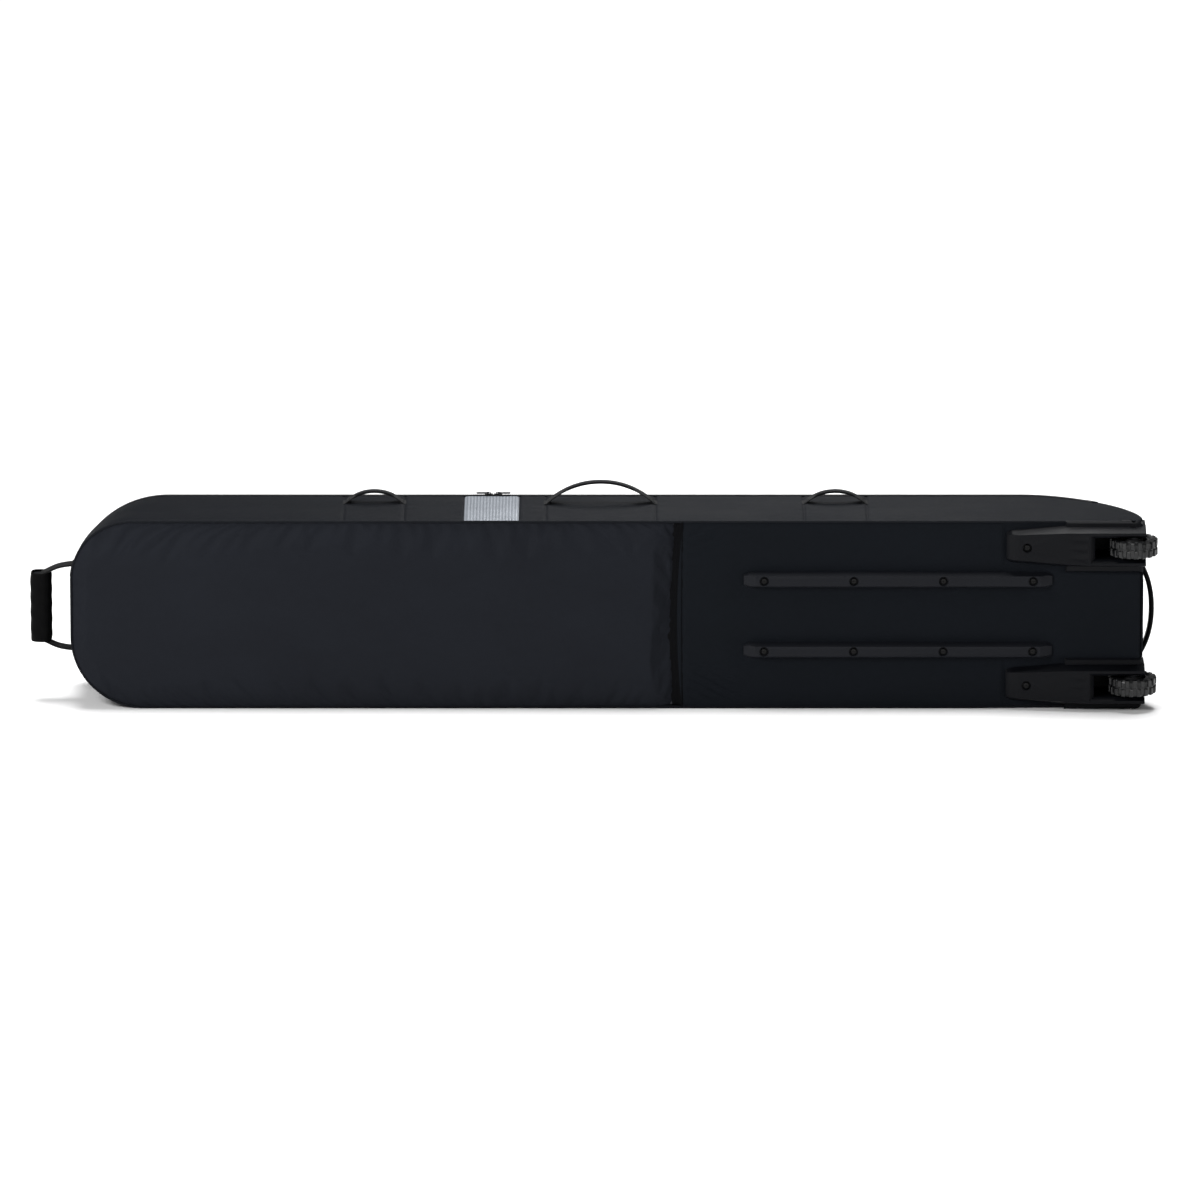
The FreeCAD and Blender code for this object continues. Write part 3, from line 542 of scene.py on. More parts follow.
def left_edge(z, inset, y=UNDER):
    """Where the rounded tip end lies at a height, for an outline inset all round."""
    corner = tip_radius(z, y)
    radius = corner - inset
    low = corner - z
    high = z - (WIDTH - corner)
    reach = np.clip(np.maximum(low, high), 0, radius)
    return LEFT + corner - np.sqrt(radius ** 2 - reach ** 2)


def profile_y(x, drop):
    """The lid side's edge at a place along the bag, lowered by drop."""
    along = np.clip((x - (RIGHT - END_RUN)) / (END_RUN - drop), 0, 1)
    cosine = along ** (1 / END_POWER)
    rise = OVER - UNDER - END_LIFT - drop
    return UNDER + END_LIFT + rise * np.sqrt(np.maximum(1 - cosine ** 2, 0)) ** END_POWER


def profile_line():
    """The outside of the lid and wheel end, from the tip to the underside: x, y and the run so far."""
    turns = np.radians(np.linspace(90, 0, 120))
    curve_x = RIGHT - END_RUN + END_RUN * np.cos(turns) ** END_POWER
    curve_y = UNDER + END_LIFT + (OVER - UNDER - END_LIFT) * np.sin(turns) ** END_POWER
    x = np.concatenate([[LEFT], curve_x, [RIGHT]])
    y = np.concatenate([[OVER], curve_y, [UNDER]])
    length = np.concatenate([[0], np.cumsum(np.hypot(np.diff(x), np.diff(y)))])
    return x, y, length


LINE_X, LINE_Y, LINE_S = profile_line()


def on_profile(s):
    """The point and outward normal at a run along the profile."""
    x = np.interp(s, LINE_S, LINE_X)
    y = np.interp(s, LINE_S, LINE_Y)
    step = 2 * MM
    dx = np.interp(s + step, LINE_S, LINE_X) - np.interp(s - step, LINE_S, LINE_X)
    dy = np.interp(s + step, LINE_S, LINE_Y) - np.interp(s - step, LINE_S, LINE_Y)
    size = np.maximum(np.hypot(dx, dy), 1e-9)
    return x, y, -dy / size, dx / size


def eased(count, strength=0.75):
    """0..1 with closer steps at both ends."""
    t = np.linspace(0, 1, count)
    return (1 - strength) * t + strength * (1 - np.cos(math.pi * t)) / 2


def outline_distance(x, z, inset, y=UNDER):
    """How far inside the rounded outline a point is."""
    corner = tip_radius(z, y)
    radius = corner - inset
    straight = np.minimum(z - inset, WIDTH - inset - z)
    dz = np.maximum(np.maximum(corner - z, z - (WIDTH - corner)), 0)
    dx = np.maximum(LEFT + corner - x, 0)
    return np.minimum(straight, radius - np.hypot(dx, dz))


def sag_lift(x, z):
    """The cloth's lower edge draws up a little towards the wheels."""
    along = np.clip((x - 560 * MM) / (170 * MM), 0, 1)
    return 3.6 * MM * smoothstep(along) * np.exp(-z / (26 * MM))


def from_wheel(z):
    """How far a height is from the middle of the nearer wheel."""
    return np.minimum(np.abs(z - WHEEL_Z), np.abs(z - (WIDTH - WHEEL_Z)))


# ---- padded underside ----
def fold_edge(z):
    """The puffy panel's edge at the crease, bowed a little towards the tip."""
    t = z / WIDTH
    return FOLD - 5.2 * MM - 10.5 * MM * np.sin(math.pi * t) ** 0.7 + 2.0 * MM * (t - 0.5)


def tip_underside():
    z = PAD_INSET + (WIDTH - 2 * PAD_INSET) * eased(84)[:, None]
    right = fold_edge(z)
    u = eased(260, 0.45)[None, :]
    left = left_edge(z, PAD_INSET)
    x = left + (right - left) * u
    zz = np.broadcast_to(z, x.shape)
    rim = np.maximum(outline_distance(x, zz, PAD_INSET), 0)
    crease = np.maximum(right - x, 0)
    rise = swell(rim, 4.0 * MM, 8 * MM) + swell(rim, 3.0 * MM, 60 * MM)
    rise = rise + 3.0 * MM * np.exp(-crease / (70 * MM)) * ramp(rim, 60 * MM)
    tuck = np.clip(1 - crease / (42 * MM), 0, 1)
    rise = rise - 15 * MM * (1 - np.sqrt(np.maximum(1 - tuck ** 2.2, 0)))
    around = x + 1.3 * zz
    rise += 0.35 * MM * ripple(around, zz * 0, 26 * MM, 3) * np.exp(-rim / (13 * MM))
    rise += 1.0 * MM * ripple(zz, x * 0.25, 46 * MM, 5) * np.exp(-crease / (30 * MM))
    rise += 0.8 * MM * ripple(x, zz * 1.4, 260 * MM, 8)
    front = np.stack([x, UNDER + 1.5 * MM - rise, zz], 2)
    front = inflate(front, 1.6, 0.012, 6 * MM)
    back = np.stack([x, np.full_like(x, UNDER + 4.6 * MM), zz], 2)
    back[:, :, 1] = np.maximum(back[:, :, 1], front[:, :, 1] + 0.6 * MM)
    pad = slab("tip_underside_pad", front, back)
    return place(pad, BAG_CLOTH, "bag", "outer_fabric", ["base_panel_tip_end"])


def fold_strip():
    z = (PAD_INSET + (WIDTH - 2 * PAD_INSET) * np.linspace(0, 1, 70))[:, None]
    u = np.linspace(0, 1, 15)[None, :]
    left = fold_edge(z) - 7 * MM
    x = left + (FOLD - left) * u
    zz = np.broadcast_to(z, x.shape)
    y = UNDER + 4.6 * MM - 4.2 * MM * np.clip((u - 0.5) / 0.42, 0, 1) ** 0.8
    y = y + 0.3 * MM * ripple(zz, x, 30 * MM, 12)
    front = np.stack([x, y, zz], 2)
    # The crease strip is coloured near-black: painted shade in the fold.
    strip = slab("fold_strip", front, front + np.array([0, 1.6 * MM, 0]))
    place(strip, FOLD_SHADE_CLOTH, "bag", "outer_fabric", ["base_fold_gusset"])
    edge = np.minimum(fold_edge(z) + 8.2 * MM, FOLD - 0.5 * MM)
    lip_x = edge + (FOLD - edge) * np.linspace(0, 1, 5)[None, :]
    lip_z = np.broadcast_to(z, lip_x.shape)
    lip_y = UNDER - 0.4 * MM + 1.6 * MM * (FOLD - lip_x) / (8 * MM)
    lip_front = np.stack([lip_x, lip_y, lip_z], 2)
    lip = slab("fold_lip", lip_front, lip_front + np.array([0, 1.0 * MM, 0]))
    place(lip, WHEEL_CLOTH, "bag", "outer_fabric")
    heights = np.linspace(2 * MM, WIDTH - 2 * MM, 90)
    line = [(FOLD + 0.8 * MM, UNDER - 0.4 * MM + 0.3 * MM * math.sin(h * 210), h) for h in heights]
    # The seam in the crease is near-black too: painted shade.
    seam = sweep("fold_seam_piping", line, 2.4 * MM, 2.4 * MM, (1, 0, 0), sides=10, power=1.0)
    place(seam, FOLD_SHADE_CLOTH, "bag", "piping")


def wheel_underside():
    even = PAD_INSET + (WIDTH - 2 * PAD_INSET) * eased(96, 0.5)
    z_steps = np.unique(np.concatenate([even, WELL_SIDES]))
    x_steps = np.unique(np.concatenate([np.linspace(FOLD + 0.5 * MM, RIGHT - WALL, 210), [WELL_START]]))
    x, z = np.meshgrid(x_steps, z_steps)
    rim = np.minimum(z - PAD_INSET, WIDTH - PAD_INSET - z)
    fold = x - FOLD
    rise = swell(rim, 2.6 * MM, 8 * MM) * swell(fold + 0.5 * MM, 1.0, 6 * MM)
    rise += swell(rim, 1.8 * MM, 60 * MM)
    for rail in ("skid_rail_lower", "skid_rail_upper"):
        gap = outside_box(*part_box(rail), x, z)
        rise = rise * (1 - np.exp(-(gap / (16 * MM)) ** 1.5) * 0.98)
    puckers = (
        (52 * MM, 34 * MM, -24, 13 * MM, 1.5 * MM), (30 * MM, WIDTH - 26 * MM, 32, 15 * MM, 0.8 * MM),
    )
    for middle_x, middle_z, lean, pitch, depth in puckers:
        lean = math.radians(lean)
        along = (fold - middle_x) * math.cos(lean) + (z - middle_z) * math.sin(lean)
        over = (z - middle_z) * math.cos(lean) - (fold - middle_x) * math.sin(lean)
        fade = bump(along, 42 * MM) * bump(over, 24 * MM) * ramp(rim, 5 * MM)
        rise += depth * np.sin(over * 2 * math.pi / pitch + 0.8 * np.sin(along / (18 * MM))) * fade
    rise += 0.8 * MM * ripple(x, z * 1.3, 170 * MM, 21) * ramp(rim, 20 * MM)
    under_plastic = x > FLANGE_START - 6 * MM
    near_edge = (z < FLANGE_EDGE) | (z > WIDTH - FLANGE_EDGE)
    rise = np.where(under_plastic & near_edge, np.minimum(rise, 0.2 * MM), rise)
    lifted = z + sag_lift(x, z)
    front = np.stack([x, UNDER + 0.2 * MM - rise, lifted], 2)
    back = np.stack([x, np.full_like(x, UNDER + 4.8 * MM), lifted], 2)
    centre_x = cell_middles(x)
    centre_z = cell_middles(z)
    centre_rim = np.minimum(centre_z, WIDTH - centre_z)
    by_wheel = from_wheel(centre_z) < CHEEK_HALF
    mask = ~((centre_x > WELL_START) & by_wheel)
    mask &= ~((centre_x > RIM_START) & ~by_wheel & (centre_rim < np.minimum(FLANGE_EDGE, 8 * MM)))
    pad = slab("wheel_underside_pad", front, back, mask)
    return place(pad, WHEEL_CLOTH, "bag", "outer_fabric", ["base_panel_wheel_end"])


# ---- side walls ----
def wall_band(name, path, offsets):
    """A strip of padded wall from the underside's seam to the zip.

    path gives x, z and the outward normal for a place's depth; offsets gives the bulge there.
    """
    v = eased(40, 0.7)[None, :]
    y0 = UNDER + WALL * 0.6
    rough_x = path(np.full_like(v, UNDER))[0]
    drop = np.where(rough_x > END_WALL_START, WALL_THICK, OVER - TAPE_EDGE)
    y = y0 + (profile_y(rough_x, drop) - y0) * v
    x, z, nx, nz = path(y)
    off = offsets(x, y, z, v)
    inner = off * 0.15 - WALL_THICK
    front, back = (np.stack([x + nx * k, y, z + nz * k], 2) for k in (off, inner))
    return slab(name, front, back)


def straight_path(xs, z, outward):
    """A path along one long side."""
    def path(y):
        x = np.broadcast_to(xs[:, None], np.broadcast(xs[:, None], y).shape)
        return x, np.full_like(x, z), np.zeros_like(x), np.full_like(x, outward)
    return path


def tip_path(xs):
    """A path along the upper side from the patch, round the tip, to the lower side's wall."""
    turns = np.radians(np.linspace(90, 180, 60))[:, None]
    lower_turns = turns[::-1]

    def path(y):
        upper = tip_radius(WIDTH, y[:1])
        lower = tip_radius(0.0, y[:1])
        reach = (xs[:, None] - xs[-1]) / (xs[0] - xs[-1])
        side_x = LEFT + upper + (xs[0] - LEFT - upper) * reach
        arc_x = LEFT + upper + upper * np.cos(turns)
        arc_z = WIDTH - upper + upper * np.sin(turns)
        low_x = LEFT + lower + lower * np.cos(lower_turns)
        low_z = lower - lower * np.sin(lower_turns)
        middle = np.linspace(0, 1, 12)[1:-1, None]
        wall_z = WIDTH - upper + (lower + upper - WIDTH) * middle
        rest_x = LEFT + lower + (LID_TIP_RADIUS - lower) * np.array([[0.5], [1.0]])
        x = np.concatenate([side_x, arc_x, np.full_like(wall_z, LEFT), low_x, rest_x])
        z = np.concatenate([np.full_like(side_x, WIDTH), arc_z, wall_z, low_z, np.zeros_like(rest_x)])
        nx = np.concatenate([
            0 * side_x, np.cos(turns) + 0 * upper, -np.ones_like(wall_z),
            np.cos(lower_turns) + 0 * lower, 0 * rest_x,
        ])
        nz = np.concatenate([
            np.ones_like(side_x), np.sin(turns) + 0 * upper, 0 * wall_z,
            -np.sin(lower_turns) + 0 * lower, -np.ones_like(rest_x),
        ])
        return x, z, nx, nz
    return path


def crown(v):
    """0 at both edges of a wall and near 1 between them."""
    return 1 - np.abs(2 * v - 1) ** 3.2


def upper_offsets(x, y, z, v):
    """The bulge of the upper side and tip: waves, seams across, and puckers along both edges."""
    on_top = z > WIDTH - 1 * MM
    off = 2.2 * MM * crown(v) - 0.6 * MM
    off = off + 1.1 * MM * ripple(x, y * 1.8, 190 * MM, 31) * crown(v)
    off = off + 0.5 * MM * ripple(x - z * 0.8, y * 0.7, 62 * MM, 33) * crown(v)
    seamed = 0 * off
    for index, seam in enumerate(SEAMS):
        gap = np.abs(x - seam)
        seamed = seamed - 1.5 * MM * bump(gap, 2.4 * MM)
        wave = ripple(y, x * 0, 34 * MM, 40 + index)
        seamed = seamed + 0.7 * MM * bump(gap - 9 * MM, 6 * MM) * wave * crown(v)
    edge_waves = ripple(x + z, y * 0, 23 * MM, 32)
    off = off + 0.35 * MM * edge_waves * (np.exp(-v / 0.08) + np.exp(-(1 - v) / 0.08))
    return off + np.where(on_top, seamed, 0)


def edge_roll(x, start, end):
    """A seam's rolled edge at both ends of a panel."""
    gap = np.minimum(x - start, end - x)
    return -1.5 * MM * bump(np.maximum(gap, 0), 2.4 * MM)


def side_walls():
    patch_start, patch_end = (corner.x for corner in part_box("reflective_panel"))
    wall_end = RIGHT - WALL
    no_seam = 1.0

    def wheel_offsets(x, y, z, v):
        return upper_offsets(x, y, z, v) + edge_roll(x, patch_end, wall_end + no_seam)

    def patch_offsets(x, y, z, v):
        return upper_offsets(x, y, z, v) + edge_roll(x, patch_start, patch_end)

    def tip_offsets(x, y, z, v):
        off = upper_offsets(x, y, z, v) + edge_roll(x, LEFT - no_seam, patch_start)
        off_floor = ramp(z, 14 * MM)
        return off * off_floor - 0.5 * MM * (1 - off_floor)

    def lower_offsets(x, y, z, v):
        soft = 0.9 * MM * (1 - crown(v)) + 0.25 * MM * (1 + ripple(x, y * 1.5, 120 * MM, 41))
        return -soft - sag_lift(x, 0 * z) * (1 - v) ** 2

    # All the side walls take the darkened side cloth: painted shade against the overhead light.
    route = straight_path(wall_steps(patch_end, wall_end), WIDTH, 1.0)
    wheel_wall = wall_band("side_wall_wheel_cloth", route, wheel_offsets)
    place(wheel_wall, SIDE_SHADE_CLOTH, "bag", "outer_fabric", ["side_wall_upper_wheel"])
    route = straight_path(wall_steps(patch_start, patch_end), WIDTH, 1.0)
    patch = wall_band("reflective_patch", route, patch_offsets)
    place(patch, FILM, "bag", "reflective", ["reflective_panel"])
    route = tip_path(wall_steps(LEFT + UPPER_TIP_RADIUS, patch_start)[::-1])
    tip_wall = wall_band("side_wall_tip_cloth", route, tip_offsets)
    place(tip_wall, SIDE_SHADE_CLOTH, "bag", "outer_fabric", ["side_wall_upper_tip", "tip_end_wall"])
    route = straight_path(np.linspace(LEFT + LID_TIP_RADIUS, wall_end, 330), 0.0, -1.0)
    lower_wall = wall_band("side_wall_lower_cloth", route, lower_offsets)
    place(lower_wall, SIDE_SHADE_CLOTH, "bag", "outer_fabric", ["side_wall_lower"])


def wall_steps(start, end):
    """Places along a wall, closer together at its ends and at the seams across it."""
    even = np.linspace(start, end, int((end - start) / (4.2 * MM)) + 4)
    offsets = np.array([-7, -5, -3.5, -2, -1, 0, 1, 2, 3.5, 5, 7]) * MM
    fine = [seam + k for seam in SEAMS + [start, end] for k in offsets if start < seam + k < end]
    return np.unique(np.round(np.concatenate([even, fine]), 5))


# ---- lid and wheel end ----
def run_at(x):
    return np.interp(x, LINE_X[:-1], LINE_S[:-1])


def lid():
    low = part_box("lid_panel")[0].z
    z = (low + (WIDTH - LID_INSET - low) * eased(76))[:, None]
    s_end = run_at(LID_END)
    s_left = left_edge(z, LID_INSET, OVER) - LEFT
    s = s_left + (s_end - s_left) * eased(300, 0.35)[None, :]
    x, y, nx, ny = on_profile(s)
    zz = np.broadcast_to(z, x.shape)
    rim = np.maximum(outline_distance(x, zz, LID_INSET, OVER), 0)
    rim = np.minimum(rim, np.maximum(s_end - s, 0))
    rise = swell(rim, 3.0 * MM, 9 * MM) + swell(rim, 2.0 * MM, 60 * MM) - 1.6 * MM
    rise += 0.6 * MM * ripple(x, zz * 1.3, 210 * MM, 61) * ramp(rim, 30 * MM)
    rise += 0.35 * MM * ripple(x + zz, zz * 0, 25 * MM, 62) * np.exp(-rim / (12 * MM))
    pocket_low, pocket_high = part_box("lid_pocket_panel")
    zip_room = Vector((0, 0, 9 * MM))
    flat = bump(outside_box(pocket_low, pocket_high + zip_room, x, zz), 14 * MM)
    rise = rise * (1 - flat) - 0.3 * MM * flat
    front, back = (off_surface(x, y, zz, nx, ny, height) for height in (rise, -3.7 * MM))
    panel = slab("lid_cloth_pad", front, back)
    return place(panel, LID_CLOTH, "lid", "lid_fabric", ["lid_panel"])


def lid_end_flap():
    """A flap on the lid's wheel end that lies over the slot between lid and end wall."""
    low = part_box("lid_panel")[0].z
    z = (low + (WIDTH - 1.0 * MM - low) * np.linspace(0, 1, 60))[:, None]
    s = run_at(LID_END) + np.linspace(-12, 10, 12)[None, :] * MM + 0 * z
    x, y, nx, ny = on_profile(s)
    zz = np.broadcast_to(z, x.shape)
    lift = 2.9 * MM + 0.3 * MM * ripple(zz, x, 40 * MM, 66)
    front, back = (off_surface(x, y, zz, nx, ny, height) for height in (lift, lift - 0.8 * MM))
    place(slab("lid_end_flap", front, back), LID_CLOTH, "lid", "lid_fabric")


def lid_hinge():
    """The strip of cloth that the lid bends on, along the lower edge."""
    xs = np.linspace(LEFT + LID_TIP_RADIUS - 4 * MM, RIGHT - END_RUN - 10 * MM, 160)
    y_in = TAPE_EDGE + 1 * MM
    line = smooth_path([
        (0, y_in, 0.6 * MM), (0, y_in + 4 * MM, 0.6 * MM), (0, OVER - 2.2 * MM, 0.9 * MM),
        (0, OVER - 0.6 * MM, 2.2 * MM), (0, OVER + 0.2 * MM, 5 * MM), (0, OVER + 0.4 * MM, 10 * MM),
    ], 15)
    front = np.array([[(x, p[1], p[2]) for p in line] for x in xs])
    back = front + np.array([0, -0.5 * MM, 0.7 * MM])
    strip = slab("lid_hinge_cloth", front, back)
    # The hinge strip takes the same darkened side cloth: painted shade.
    place_bent(strip, SIDE_SHADE_CLOTH)


def wheel_end():
    s0 = run_at(END_WALL_START)
    s1 = LINE_S[-1] - WALL * 0.6
    s_steps = np.unique(np.concatenate([np.linspace(s0, s1, 60), [LINE_S[-1] - (WELL_FLOOR - UNDER)]]))
    even = LID_INSET + (WIDTH - 2 * LID_INSET) * eased(90, 0.5)
    s, z = np.meshgrid(s_steps, np.unique(np.concatenate([even, WELL_SIDES])))
    x, y, nx, ny = on_profile(s)
    rim = np.minimum(z, WIDTH - z)
    rise = swell(rim, 1.8 * MM, 10 * MM) - 0.9 * MM
    rise += 0.6 * MM * ripple(z * 1.2, y, 70 * MM, 71) * ramp(rim, 20 * MM)
    rise -= 1.0 * MM * bump(s - s0, 4 * MM)
    by_plastic = (y < WELL_FLOOR + 12 * MM) & (from_wheel(z) < CHEEK_HALF + 22 * MM)
    rise = np.where(by_plastic, np.minimum(rise, -0.4 * MM), rise)
    front, back = (off_surface(x, y, z, nx, ny, height) for height in (rise, -3.8 * MM))
    mid_y = cell_middles(y)
    mid_z = cell_middles(z)
    mask = ~((mid_y < WELL_FLOOR) & (from_wheel(mid_z) < CHEEK_HALF))
    mask &= ~((mid_y < UNDER + 20.5 * MM) & (np.minimum(mid_z, WIDTH - mid_z) < FLANGE_EDGE))
    wall = slab("wheel_end_cloth", front, back, mask)
    return place(wall, WHEEL_CLOTH, "bag", "outer_fabric", ["wheel_end_wall"])


# ---- piping ----
def rim_points(inset, y, start_x, end_x, step=6 * MM):
    """Round the outline from the upper side, past the tip, to the lower side."""
    high = float(tip_radius(WIDTH, y))
    low = float(tip_radius(0.0, y))
    upper = [(x, WIDTH - inset) for x in np.arange(start_x, LEFT + high, -step)]

    def corner(radius, centre_z, turns):
        reach = radius - inset
        return [(LEFT + radius + reach * math.cos(a), centre_z + reach * math.sin(a)) for a in turns]

    arc = corner(high, WIDTH - high, np.radians(np.linspace(90, 180, 40)))
    wall = [(LEFT + inset, z) for z in np.linspace(WIDTH - high, low, 5)[1:-1]]
    low_arc = corner(low, low, np.radians(np.linspace(180, 270, 40)))
    lower = [(x, inset) for x in np.arange(LEFT + low + step, end_x, step)]
    return [(x, y, z) for x, z in upper + arc + wall + low_arc + lower]


def piping():
    thick = 4.2 * MM
    y = UNDER + 1.4 * MM
    base = rim_points(thick / 2, y, PIPING_END, PIPING_END)
    base = [(x, y, z + (sag_lift(x, 0.0) if z < MID_Z else 0)) for x, y, z in base]
    heel_start = FLANGE_EDGE + 1 * MM
    heel = [(RIGHT - 1.6 * MM, y, z) for z in np.linspace(heel_start, WIDTH - heel_start, 30)]
    top = rim_points(1.9 * MM, OVER - 0.6 * MM, RIGHT - END_RUN, LEFT + LID_TIP_RADIUS)
    for name, line, width, body, replaced in (
        ("base_piping_cord", base, thick, "bag", ["base_piping"]),
        ("wheel_end_piping_cord", heel, thick, "bag", ()),
        ("lid_piping_cord", top, 3.4 * MM, "lid", ()),
    ):
        cord = sweep(name, line, width, width, sides=10, power=1.0)
        place(cord, PIPE_CLOTH, body, "piping", replaced)


# ---- zip ----
CORNERS = ((-1, -1), (1, -1), (1, 1), (-1, 1))


def zip_route(drop):
    """Along the upper side from the wheel end and round the tip, at a drop below the lid, off the floor."""
    floor_gap = 3.2 * MM
    rim = 0.4 * MM
    xs = np.arange(LID_END, RIGHT - END_RUN, -3 * MM)
    curved = [(x, float(profile_y(x, drop)), WIDTH - rim) for x in xs]
    flat = rim_points(rim, OVER - drop, RIGHT - END_RUN, LEFT + LID_TIP_RADIUS - 10 * MM, 3 * MM)
    return np.array([point for point in curved + flat if point[2] > floor_gap])


def block_faces(base):
    """The six faces of a block whose eight points start at a place in a list."""
    sides = [(base + k, base + (k + 1) % 4, base + 4 + (k + 1) % 4, base + 4 + k) for k in range(4)]
    return [(base, base + 3, base + 2, base + 1), (base + 4, base + 5, base + 6, base + 7)] + sides


def zip_tapes():
    for name, drop, body, node in (
        ("zip_tape_wall_weave", 9.6 * MM, "bag", "zipper_tape_wall"),
        ("zip_tape_lid_weave", 4.6 * MM, "lid", "zipper_tape_lid"),
    ):
        tape = sweep(name, zip_route(drop), 4.6 * MM, 1.4 * MM, sides=10)
        place(tape, ZIP_TAPE, body, "zip_tape", [node])


def zip_teeth():
    """Coil teeth in two rows, half a pitch apart, that meet along the middle of the zip."""
    pitch = 3.2 * MM
    for name, drop, shift, body in (
        ("zip_teeth_wall", 7.9 * MM, 0.0, "bag"), ("zip_teeth_lid", 6.1 * MM, pitch / 2, "lid"),
    ):
        route = zip_route(drop)
        centre = along_line(route, pitch, ahead=shift)
        tangent = along_line(route, pitch, ahead=shift + 1 * MM) - centre
        tangent /= np.maximum(np.linalg.norm(tangent, axis=1)[:, None], 1e-9)
        across = np.array([0, 1.0, 0])
        out = np.cross(tangent, across)
        out[:, 2] = np.where(np.abs(out[:, 2]) > 0.99, np.abs(out[:, 2]), out[:, 2])
        verts = []
        faces = []
        for c, t, n in zip(centre, tangent, out):
            n = n if n @ (c - np.array([0, 0, MID_Z])) > 0 else -n
            faces += block_faces(len(verts))
            for h, half_run, half_width in ((0.2 * MM, 0.9 * MM, 1.7 * MM), (1.5 * MM, 0.54 * MM, 1.02 * MM)):
                for a, b in CORNERS:
                    verts.append(c + t * a * half_run + across * b * half_width + n * h)
        teeth = add_object(name, verts, faces)
        place(teeth, ZIP_COIL, body, "zip_tape")


# ---- handles ----
def side_handle(node, body, span_low, span_high):
    """A webbing handle that is folded in half along its middle."""
    low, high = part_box(node)
    y = (low.y + high.y) / 2
    half = (span_high - span_low) / 2
    middle = (span_high + span_low) / 2
    rise = high.z - WIDTH
    t = np.linspace(-1, 1, 61)
    arc = (1 - np.abs(t) ** 2.1) ** 0.92
    path = np.stack([middle + half * t, np.full_like(t, y), WIDTH - 0.5 * MM + (rise - 1.0 * MM) * arc], 1)
    folded = smoothstep(np.clip((0.74 - np.abs(t)) / 0.2, 0, 1))
    widths = 25 * MM - 10.5 * MM * folded
    thicks = 2.2 * MM + 2.6 * MM * folded
    strap = sweep(node + "_strap", path, widths, thicks, sides=16)
    place_bent(strap, STRAP, [node])


def handle_tabs():
    """The sewn ends of the side handles, with bar tacks across them."""
    sewn = []
    y = sum(corner.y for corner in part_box("side_handle_mid")) / 2
    for seam, inward in zip(SEAMS, (1, -1) * 3):
        path = [
            (seam - inward * 3 * MM, y, WIDTH + 0.2 * MM), (seam, y, WIDTH + 1.0 * MM),
            (seam + inward * 7 * MM, y, WIDTH + 1.7 * MM),
        ]
        sewn.append(sweep("tab", smooth_path(path, 9), 26 * MM, 2.0 * MM))
        tack = [(seam + inward * 3 * MM, y + k * MM, WIDTH + 2.5 * MM) for k in (-11, 0, 11)]
        sewn.append(sweep("tack", tack, 2.0 * MM, 0.8 * MM, (1, 0, 0), sides=8, power=1.0))
    tabs = join("side_handle_tabs", sewn)
    place(tabs, STRAP, "bag", "webbing", ["side_handle_anchors"])


def join(name, parts):
    """One object out of several meshes."""
    bm = bmesh.new()
    for part in parts:
        part.data.transform(part.matrix_world)
        bm.from_mesh(part.data)
        bpy.data.objects.remove(part)
    mesh = bpy.data.meshes.new(name)
    bm.to_mesh(mesh)
    bm.free()
    mesh.polygons.foreach_set("use_smooth", [True] * len(mesh.polygons))
    return link(name, mesh)


def tip_handle():
    """The webbing loop at the tip, its sewn ends and its grip."""
    anchor_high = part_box("tip_handle_anchors")[1]
    grip_low, grip_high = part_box("tip_handle_grip")
    y = (grip_low.y + grip_high.y) / 2
    root = anchor_high.z - MID_Z - 1.5 * MM
    wall_x = float(left_edge(MID_Z - root, 0.0, y))
    far = (grip_low.x + grip_high.x) / 2
    half = (grip_high.z - grip_low.z) / 2
    route = [
        (wall_x + 2 * MM, y, MID_Z + root), (wall_x - 7 * MM, y, MID_Z + root + 0.5 * MM),
        (LEFT - 20 * MM, y, MID_Z + root - 3 * MM),
        (far + 9 * MM, y, MID_Z + half + 1 * MM), (far + 1 * MM, y, MID_Z + half - 5 * MM),
        (far, y, MID_Z + half * 0.5),
    ]
    lower = [(x, yy, WIDTH - z) for x, yy, z in reversed(route)]
    line = smooth_path(route + lower, 120)
    strap = sweep("tip_handle_strap", line, 30 * MM, 4.0 * MM, sides=16)
    place_bent(strap, HANDLE_WEB, ["tip_handle_webbing"])

    tabs = []
    for side in (1, -1):
        heights = MID_Z + side * (root - np.linspace(16, -3, 9) * MM)
        plate = [(float(left_edge(z, 0.0, y)) - 2.2 * MM, y, z) for z in heights]
        tabs.append(sweep("tab", plate, 33 * MM, 2.2 * MM))
    place(join("tip_handle_tabs", tabs), HANDLE_WEB, "bag", "webbing", ["tip_handle_anchors"])
    grip_wrap(far, y, grip_low.z, grip_high.z)


